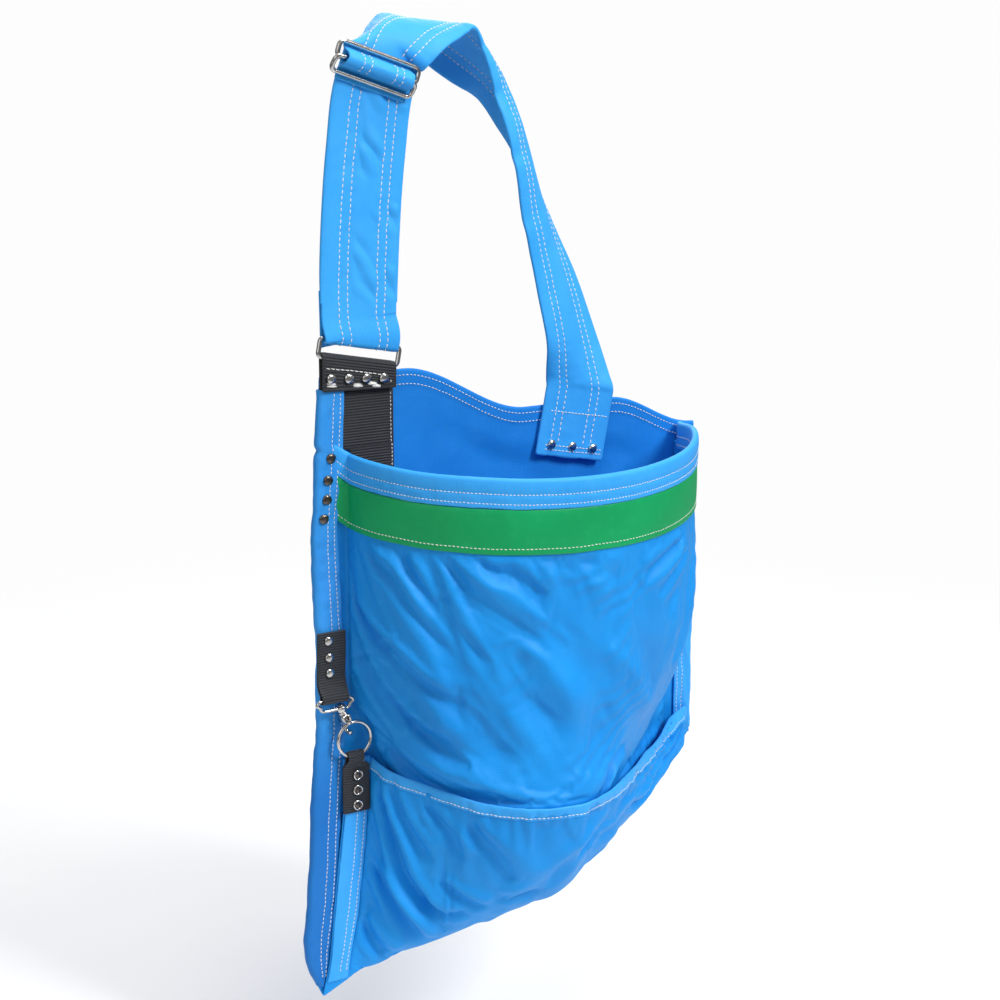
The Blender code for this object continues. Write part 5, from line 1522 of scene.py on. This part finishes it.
def flap_cloth():
    """Builds the flap; returns its points above the seam, and normals of the whole sheet."""
    rise = np.linspace(0, 1, N_RISE)
    g = np.linspace(0, 1, N_SCOOP)
    g = 0.75 * g + 0.25 * ease(g)
    pts = flap_base(rise, g)
    middle = N_MARGIN + N_SCOOP // 2
    nrm = normals_of(pts, FRONT, at=(middle, N_RISE // 2))
    nrm[:N_MARGIN] = FRONT
    g_column = np.r_[np.zeros(N_MARGIN), g][:, None]
    up = np.broadcast_to(rise[None], (N_MARGIN + N_SCOOP, N_RISE))
    g = np.broadcast_to(g_column, up.shape)

    def waves(height, phase):
        return height * np.sin(2 * math.pi * phase)

    relief = (1.1 * noise(g * 6.0, up * 3.0, 111) + 0.55 * noise(g * 14.0 + up * 3, up * 6.0, 112)
              + 0.15 * noise(g * 34.0, up * 13.0, 113))
    relief = add_folds(relief, pts, nrm, FLAP_FOLDS, lambda a, b: flap_point(a, b * math.pi / 2),
                       gain=(0.78, 1.5, 1.9), ends=0.2)
    # gathers that run in to the seam's right end
    relief = relief + (waves(2.3, up * 6.5 + 0.5 * noise(g * 6.0, up * 2.0, 114))
                       * window(g, 0.50, 0.985, 0.28, 0.05))
    relief = relief + (waves(0.9, up * 13.0 + 0.6 * noise(g * 9.0, up * 3.0, 115))
                       * window(g, 0.62, 0.985, 0.25, 0.05))
    # small tucks under the hem and along the hinge seam
    for height, at, width, pitch, cell, seed in ((0.55, 0.90, 0.045, 118.0, 21.0, 116),
                                                 (0.7, 0.12, 0.09, 74.0, 17.0, 117)):
        relief = relief + (height * bell((up - at) / width)
                           * np.sin(g * pitch + 2.5 * noise(g * cell, 0.0, seed)))
    mask = (window(g, 0, 1, 0.035, 0.02) * ease(up / 0.10)
            * (1 - 0.7 * ease((up - 0.94) / 0.06)))
    pts = pts + nrm * (relief * mask)[..., None]
    pin = 1.0 - window(g, 0, 1, 0.02, 0.015) * ease(up / 0.06) * ease((1.0 - up) / 0.05)
    pts[N_MARGIN:] = drape(pts[N_MARGIN:], pin[N_MARGIN:], cap=4.0)
    # fine pleats where the cloth runs in to the seam's right end and along the hem
    pleats = (waves(1.45, up * 10.5 + 0.7 * noise(g * 7.0, up * 2.0, 131))
              * window(g, 0.56, 0.985, 0.24, 0.04))
    pleats = pleats + (waves(0.75, g * 26.0 + up * 5.0 + 0.8 * noise(g * 9.0, up * 4.0, 132))
                       * bell((up - 0.80) / 0.16)
                       * np.clip(0.4 + noise(g * 8.0, up * 3.0, 133), 0, 1))
    pts = pts + nrm * (pleats * mask)[..., None]
    # the seam turns under and is sewn to the foot of the back panel
    hinge_up = unit(np.cross(unit(HINGE_R - HINGE_L), (0, 1, 0)))
    margin = (1 - ease(g_column[:, 0] / 0.05))[:, None, None]
    section = SEAM_MARGIN[None] * margin + SEAM_SCOOP[None] * (1 - margin)
    under = (pts[:, 0][:, None] + Y_AXIS * (section[..., 0:1] - FLAP_Y)
             + hinge_up * section[..., 1:2])
    whole = np.concatenate([under, pts], axis=1)
    nrm = normals_of(whole, FRONT, at=(middle, len(SEAM_MARGIN) + N_RISE // 2))
    nrm[0], nrm[-1] = nrm[1], nrm[-2]
    flap = sheet("dump_flap_cloth", whole, nrm, 0.72, BLUE)
    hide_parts("dump_flap")
    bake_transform(flap)
    return pts, nrm


# Section of the flap's folded hem: (out from the cloth, up from its edge)
FLAP_HEM_SECTION = [
    (0.92, -9.0), (1.25, -9.3), (1.5, -9.0), (1.55, -8.2), (1.30, -7.2), (1.45, -6.0),
    (1.7, -4.0), (1.65, -1.8), (1.4, 0.0), (0.85, 0.9), (0.1, 1.2), (-0.7, 0.9), (-1.2, 0.1),
    (-1.4, -2.0), (-1.4, -5.5), (-1.25, -7.2), (-1.05, -7.6), (-0.90, -7.1), (-0.85, -1.4),
    (-0.3, -0.3), (0.3, -0.3), (0.85, -1.4)]


def flap_hem(pts, nrm):
    pts, nrm = pts[N_MARGIN - 1:], nrm[N_MARGIN - 1:]
    edge = pts[:, -1]
    out = unit(nrm[:, -1] * np.array([1, 1, 0.15]))
    out[0] = FRONT
    out[1] = unit(out[1] + out[0])
    down = unit(pts[:, -6] - edge)
    arc = arc_length(edge)
    s = np.linspace(1.5, arc[-1] - 1.0, 330)
    edge, out, down = (interp_rows(s, arc, rows) for rows in (edge, out, down))
    out, down = unit(out), unit(down)
    a, b = np.array(FLAP_HEM_SECTION).T[:, None]
    pucker = (0.42 * wobble(s / 4.8, 121) + 0.30 * wobble(s / 12.0, 122))[:, None]
    a = a + np.where(np.abs(a) > 1.0, np.sign(a) * pucker * bell((b + 4.0) / 4.0), 0)
    ragged = (0.45 * wobble(s / 19.0, 123) + 0.22 * wobble(s / 6.0, 124))[:, None]
    b = b + ragged * np.where(b > -8.4, 1.0, 0.5)
    rings = edge[:, None] + out[:, None] * a[..., None] - down[:, None] * b[..., None]
    attach(tube("flap_hem_cloth", rings, BLUE_STRAP), "flap", "blue_cloth", "flap_hem")
    out = out[2:-2]
    return [(rings[2:-2, 4] + out * 0.22, out, "flap hem"), (rings[2:-2, 14], -out, "flap hem")]


def flap_edge_strip():
    """Strip down the flap's left margin."""
    columns = 24
    z = np.linspace(-264.5, -463.0, 210)
    u = np.linspace(0, 1, columns)[None]
    left = flap_left(z) + 0.6 + 0.35 * wobble(z / 12.0, 131)
    right = flap_margin(z) - 1.6 + 0.3 * wobble(z / 17.0, 132)
    x = left[:, None] + (right - left)[:, None] * u
    z = z[:, None]
    y = (STRIP_Y - 0.62 - 0.30 * noise(z / 7.0, u * 3.0, 133)
         - 0.35 * noise((z + 9 * u) / 15.0, u * 2.0, 134))
    pts = np.stack([x, y, np.broadcast_to(z, x.shape)], -1)
    nrm = normals_of(pts, FRONT)
    half = 0.55 + 0.15 * np.sin(u * math.pi)
    seams_at = (0.55, 0.88)
    for share in seams_at:
        half = half - 0.16 * bell((u - share) / 0.04)
    attach(sheet("flap_edge_strip_cloth", pts, nrm, half, BLUE_STRAP), "flap", "blue_cloth",
           "flap_edge_strip")
    surface = Surface(pts, nrm, half)
    k = np.arange(48, len(z) - 2, 1.0)
    shift = 0.2 * wobble(k / 20.0, 135)
    return [(*surface.at(k, c * (columns - 1) + shift), "binding") for c in seams_at]


# ----------------------------------------------------------------------- rivet heads
# Profiles as shares of (radius, height)
DOME = [(0.96, -0.15), (1.0, 0.12), (1.0, 0.30), (0.955, 0.50), (0.86, 0.70), (0.70, 0.86),
        (0.50, 0.96), (0.28, 1.0), (0.10, 1.0)]
DISH = [(0.96, -0.15), (1.0, 0.12), (1.0, 0.36), (0.95, 0.62), (0.87, 0.80), (0.78, 0.84),
        (0.70, 0.74), (0.64, 0.54), (0.58, 0.42), (0.48, 0.42), (0.34, 0.56), (0.20, 0.64),
        (0.08, 0.66)]
DISH_DARK_FROM = 6      # profile step where the dark middle of a dished head begins
# Groups: count, then kinds as (node, body, slot, materials, profile, radius, height, seed)
RIVETS = (
    (4, (("anchor_rivet", "bag", "bright_steel", [STEEL], DOME, 4.1, 2.3, 11),
         ("flange_rivet", "bag", "dark_steel", [DARK], DOME, 4.2, 2.1, 21))),
    (3, (("upper_tab_rivet", "bag", "bright_steel", [STEEL], DOME, 3.9, 1.9, 31),
         ("lower_tab_rivet", "flap", "bright_steel", [STEEL, DARK], DISH, 4.7, 2.4, 41),
         ("strap_end_rivet", "bag", "bright_steel", [STEEL], DOME, 4.1, 2.3, 51))))


def rivet(node, body, slot, materials, profile, r, h, seed):
    seg = 30
    low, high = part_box(node)
    centre = (np.array(low) + np.array(high)) / 2 / MM
    centre[1] = high[1] / MM
    pts, faces, uv = turned_shell(centre, FRONT, [(p * r, q * h) for p, q in profile], seg)
    # hammered a little unevenly
    rs = np.random.RandomState(seed)
    d = pts - centre
    lobes = np.sin(3 * np.arctan2(d[:, 2], d[:, 0]) + rs.rand() * 6)
    k = 1 + 0.035 * lobes * (np.hypot(d[:, 0], d[:, 2]) / r)
    lean = (1 + 0.10 * (d[:, 0] / r) * rs.uniform(-1, 1)
            + 0.10 * (d[:, 2] / r) * rs.uniform(-1, 1))
    pts = centre + d * np.stack([k, lean, k], -1)
    face_materials = None
    if profile is DISH:
        quads = (len(profile) - 1) * seg
        face_materials = np.zeros(sum(len(f) for f in faces), int)
        face_materials[DISH_DARK_FROM * seg:quads] = 1
        face_materials[quads + seg:] = 1             # the outer cap
    ob = make_mesh(node + "_head", (pts, faces, uv), materials, 50, face_materials)
    attach(ob, body, slot, node)


def rivets():
    for count, kinds in RIVETS:
        for i in range(count):
            for node, *look, seed in kinds:
                rivet("%s_%d" % (node, i + 1), *look, seed + i)


# ----------------------------------------------------------------------- swivel snap
HOOK_R = 3.9            # radius of the hook's bend
HOOK_WIRE = 1.3
HOOK_BEND_Z = -4.5
# Turned barrel of the eye: (radius, height along the snap)
BARREL = [
    (2.05, 13.7), (2.05, 18.5), (2.3, 18.75), (3.4, 18.75), (4.0, 18.4), (4.3, 17.6),
    (4.35, 16.2), (4.3, 14.6), (4.0, 13.8), (3.5, 13.45), (2.4, 13.45)]


def snap_point(x, y, z):
    """Point in the snap's own frame: across, towards the wearer, up its axis."""
    return SNAP_C + SNAP_ACROSS * x + Y_AXIS * y + SNAP_UP * z


def snap_eye():
    height = 9.0
    loop = rounded_rect(EYE_C - Z_AXIS * height / 2, X_AXIS, Z_AXIS, 16.6, height / 2, 3.5,
                        half_w_low=13.5)
    a = (2 * math.pi * np.arange(36) / 36)[:, None]
    circle = SNAP_ACROSS[None] * np.cos(a) + Y_AXIS[None] * np.sin(a)
    rings = [[SNAP_C + SNAP_UP * h + out * r for r, h in BARREL] for out in circle]
    shells = [wire_shell(loop, Y_AXIS, EYE_WIRE), tube_shell(rings, closed=True)]
    attach(merge("snap_eye_cast", shells, [STEEL], 40), "snap_eye", "bright_steel", "snap_eye")


def solid_object(name, bm):
    bmesh.ops.recalc_face_normals(bm, faces=bm.faces)
    if bm.calc_volume(signed=True) < 0:
        bmesh.ops.reverse_faces(bm, faces=bm.faces)
    for v in bm.verts:
        v.co = v.co * MM
    mesh = bpy.data.meshes.new(name)
    bm.to_mesh(mesh)
    bm.free()
    return link_object(name, mesh)


def loft_solid(rings):
    bm = bmesh.new()
    rings = [[bm.verts.new(p) for p in ring] for ring in rings]
    k = len(rings[0])
    for r0, r1 in zip(rings, rings[1:]):
        for j in range(k):
            bm.faces.new((r0[j], r0[(j + 1) % k], r1[(j + 1) % k], r1[j]))
    bm.faces.new(rings[0])
    bm.faces.new(list(reversed(rings[-1])))
    return bm


def sweep_solid(frames, section):
    return loft_solid([[o + a * p + b * q for p, q in section] for o, a, b in frames])


def turn_solid(profile, seg=28):
    """Solid turned about the snap's axis from (radius, height) pairs."""
    turns = [2 * math.pi * k / seg for k in range(seg)]
    return loft_solid([[snap_point(r * math.cos(a), r * math.sin(a), h) for a in turns]
                       for r, h in profile])


def apply_modifiers(ob):
    depsgraph = bpy.context.evaluated_depsgraph_get()
    mesh = bpy.data.meshes.new_from_object(ob.evaluated_get(depsgraph))
    ob.modifiers.clear()
    ob.data = mesh


def boolean(ob, tool_bm, operation):
    tool = solid_object("tool", tool_bm)
    modifier = ob.modifiers.new("b", "BOOLEAN")
    modifier.operation = operation
    modifier.solver = "EXACT"
    modifier.object = tool
    old = ob.data
    apply_modifiers(ob)
    bpy.data.objects.remove(tool, do_unlink=True)
    bpy.data.meshes.remove(old)


def snap_hook():
    path = [snap_point(0, HOOK_R, z) for z in (8.0, 3.0, -1.0, -3.0)]
    path += [snap_point(0, y, z) for y, z in
             arc_points(0, HOOK_BEND_Z, HOOK_R, HOOK_R, 0, -math.pi, 25)]
    frames = []
    for i, p in enumerate(path):
        tangent = unit(path[min(i + 1, len(path) - 1)] - path[max(i - 1, 0)])
        frames.append((p, SNAP_ACROSS, np.cross(tangent, SNAP_ACROSS)))
    oval = [(1.5 * HOOK_WIRE * math.cos(a), HOOK_WIRE * math.sin(a))
            for a in (2 * math.pi * k / 18 for k in range(18))]
    hook = solid_object("snap_hook_cast", sweep_solid(frames, oval))
    # body block: (height, scale of its eight-sided section)
    block = [(snap_point(0, -0.4, z), SNAP_ACROSS * scale, Y_AXIS * scale)
             for z, scale in ((3.4, 0.9), (4.2, 1.0), (9.6, 1.0), (10.6, 0.94), (11.2, 0.82))]
    section = [(-4.0, -4.4), (-3.0, -5.7), (3.0, -5.7), (4.0, -4.4),
               (4.0, 4.4), (3.0, 5.7), (-3.0, 5.7), (-4.0, 4.4)]
    boolean(hook, sweep_solid(block, section), "UNION")
    # neck, pin and pin head
    boolean(hook, turn_solid([(3.0, 10.9), (3.7, 11.3), (3.75, 12.6), (3.2, 13.2)]), "UNION")
    boolean(hook, turn_solid([(1.6, 13.0), (1.6, 19.2)], 20), "UNION")
    head = [(2.4, 18.95), (2.85, 19.3), (2.75, 19.8), (2.0, 20.2)]
    boolean(hook, turn_solid(head, 24), "UNION")
    # slot in the front of the block
    slot = snap_point(0, -5.0, 6.3)
    ends = [(slot + SNAP_UP * h, SNAP_ACROSS, Y_AXIS) for h in (-4.3, 4.3)]
    opening = [(-1.6, -2.7), (1.6, -2.7), (1.6, 2.7), (-1.6, 2.7)]
    boolean(hook, sweep_solid(ends, opening), "DIFFERENCE")
    bevel = hook.modifiers.new("bev", "BEVEL")
    bevel.width = 0.22 * MM
    bevel.segments = 2
    bevel.limit_method = "ANGLE"
    bevel.angle_limit = math.radians(38)
    apply_modifiers(hook)
    hook.data.materials.clear()
    hook.data.materials.append(STEEL)
    hook.data.shade_smooth()
    hook.data.set_sharp_from_angle(angle=math.radians(40))
    attach(hook, "snap_hook", "bright_steel", "snap_hook")


def snap_gate():
    """Sliding bolt with its thumb stud, and the spring above it."""
    bolt = [(0.9, 2.6), (1.2, 2.8), (1.25, 3.1), (1.25, 7.0), (1.05, 7.4)]
    stem = [(1.0, HOOK_R + 0.6), (1.0, HOOK_R + 4.1)]
    stud = [(1.1, HOOK_R + 3.9), (1.85, HOOK_R + 4.1), (1.95, HOOK_R + 4.5),
            (1.8, HOOK_R + 4.95), (1.2, HOOK_R + 5.2)]
    shells = [turned_shell(snap_point(0, -HOOK_R, 0), SNAP_UP, bolt, 24),
              turned_shell(snap_point(0, 0, 5.2), FRONT, stem, 20),
              turned_shell(snap_point(0, 0, 5.2), FRONT, stud, 28)]
    attach(merge("snap_gate_bolt", shells, [STEEL], 40), "snap_gate", "bright_steel",
           "snap_gate")
    steps, turns, coil_r, wire_r = 160, 4, 0.95, 0.17
    f = np.linspace(0, 1, steps)
    a = 2 * math.pi * turns * f
    line = np.array([snap_point(coil_r * math.cos(w), -HOOK_R + coil_r * math.sin(w),
                                7.85 + 2.0 * share) for w, share in zip(a, f)])
    out = SNAP_ACROSS * np.cos(a)[:, None] + Y_AXIS * np.sin(a)[:, None]
    side = unit(np.cross(unit(np.gradient(line, axis=0)), out))
    w = (2 * math.pi * np.arange(10) / 10)[None, :, None]
    rings = line[:, None] + wire_r * (out[:, None] * np.cos(w) + side[:, None] * np.sin(w))
    attach(tube("gate_spring_coil", rings, STEEL), "snap_hook", "bright_steel", "gate_spring")


# ----------------------------------------------------------------------------- stage
def floor_material():
    """Pale floor that fades to clear away from the middle."""
    n = Shader("pale_floor")
    obj = n.coords("Object")
    colour = n.tint((0.90, 0.90, 0.90), (0.93, 0.93, 0.93), n.noise(obj, scale=3.0, detail=3),
                    span=(0.3, 0.7))
    n.fill(n.bsdf, Base_Color=colour, Roughness=0.75)
    distance = n.node("VectorMath", operation="LENGTH")
    n.put(distance.inputs[0], obj)
    clear = n.node("BsdfTransparent")
    fade = n.node("MixShader")
    n.put(fade.inputs[0], n.remap(distance.outputs["Value"], span=(0.55, 1.9)))
    n.put(fade.inputs[1], n.bsdf.outputs[0])
    n.put(fade.inputs[2], clear.outputs[0])
    n.put(n.output.inputs["Surface"], fade.outputs[0])
    return n.material


def add_floor():
    """Disc below the lowest reach of the open dump flap, in metres."""
    radius, z, seg = 2.0, -0.555, 64
    turns = [2 * math.pi * k / seg for k in range(seg)]
    ring = [(radius * math.cos(a), radius * math.sin(a), z) for a in turns]
    mesh = bpy.data.meshes.new("floor")
    mesh.from_pydata(ring, [], [list(range(seg))])
    mesh.materials.append(floor_material())
    link_object("floor", mesh)


def add_world():
    """Grey gradient for lighting, near white to the camera."""
    world = bpy.data.worlds.new("studio")
    bpy.context.scene.world = world
    world.use_nodes = True
    tree = world.node_tree
    tree.nodes.clear()
    output, light, backdrop, mix, path, coords, split, ramp = (
        tree.nodes.new("ShaderNode" + kind) for kind in (
            "OutputWorld", "Background", "Background", "MixShader", "LightPath", "TexCoord",
            "SeparateXYZ", "ValToRGB"))
    for source, target in (
            (coords.outputs["Generated"], split.inputs[0]), (split.outputs[2], ramp.inputs[0]),
            (ramp.outputs[0], light.inputs[0]), (path.outputs["Is Camera Ray"], mix.inputs[0]),
            (light.outputs[0], mix.inputs[1]), (backdrop.outputs[0], mix.inputs[2]),
            (mix.outputs[0], output.inputs[0])):
        tree.links.new(source, target)
    stops = ramp.color_ramp.elements
    stops[0].position, stops[0].color = 0.0, (0.30, 0.31, 0.33, 1)
    stops[1].position, stops[1].color = 1.0, (1.05, 1.06, 1.08, 1)
    stops.new(0.30).color = (0.62, 0.63, 0.66, 1)
    light.inputs[1].default_value = 0.50
    backdrop.inputs[0].default_value = (0.985, 0.985, 0.985, 1)
    backdrop.inputs[1].default_value = 1.0


def area_light(name, at, to, size, power):
    """Rectangular light; places and size (x, y) in metres, power in watts."""
    light = bpy.data.lights.new(name, "AREA")
    light.energy = power
    light.shape = "RECTANGLE"
    light.size, light.size_y = size
    ob = bpy.data.objects.new(name, light)
    ob.location = at
    ob.rotation_euler = (Vector(to) - Vector(at)).to_track_quat("-Z", "Y").to_euler()
    bpy.context.scene.collection.objects.link(ob)


def add_camera():
    camera = bpy.data.cameras.new("camera")
    camera.lens = 72.04
    camera.sensor_width = 36.0
    camera.clip_start, camera.clip_end = 0.05, 100.0
    ob = link_object("camera", camera)
    ob.location = (-0.8962, -1.4400, 0.3401)
    pitch_down, yaw = 13.33, -31.42
    ob.rotation_euler = (math.radians(90 - pitch_down), 0.0, math.radians(yaw))
    bpy.context.scene.camera = ob


# ---------------------------------------------------------------------------- build
bag_seams = back_panel()
front_panel()
bag_seams += rim()
bag_seams += side_bindings()
anchor_webbing()
shoulder_strap()
strap_rings()
strap_bight()
upper_tab()
flap_seams = flap_hem(*flap_cloth())
flap_seams += flap_edge_strip()
attach(stitches("flap_stitches", flap_seams, 0.40), "flap")
lower_tab()
round_ring()
rivets()
snap_eye()
snap_hook()
snap_gate()
attach(stitches("bag_stitches", bag_seams, 0.40), "bag")

add_floor()
add_world()
area_light("key", at=(1.0, -2.3, 2.0), to=(-0.02, -0.06, -0.08), size=(0.8, 1.0), power=84.0)
area_light("fill", at=(-2.2, -1.3, 0.9), to=(0.0, -0.05, -0.1), size=(1.8, 1.8), power=12.0)
area_light("top", at=(0.1, -0.5, 2.3), to=(0.0, -0.05, 0.0), size=(1.3, 1.3), power=30.0)
area_light("rim_light", at=(0.6, 1.8, 1.3), to=(0.0, 0.0, 0.1), size=(1.4, 1.4), power=19.0)
bpy.context.scene.view_settings.view_transform = "Standard"
bpy.context.scene.view_settings.look = "None"
add_camera()
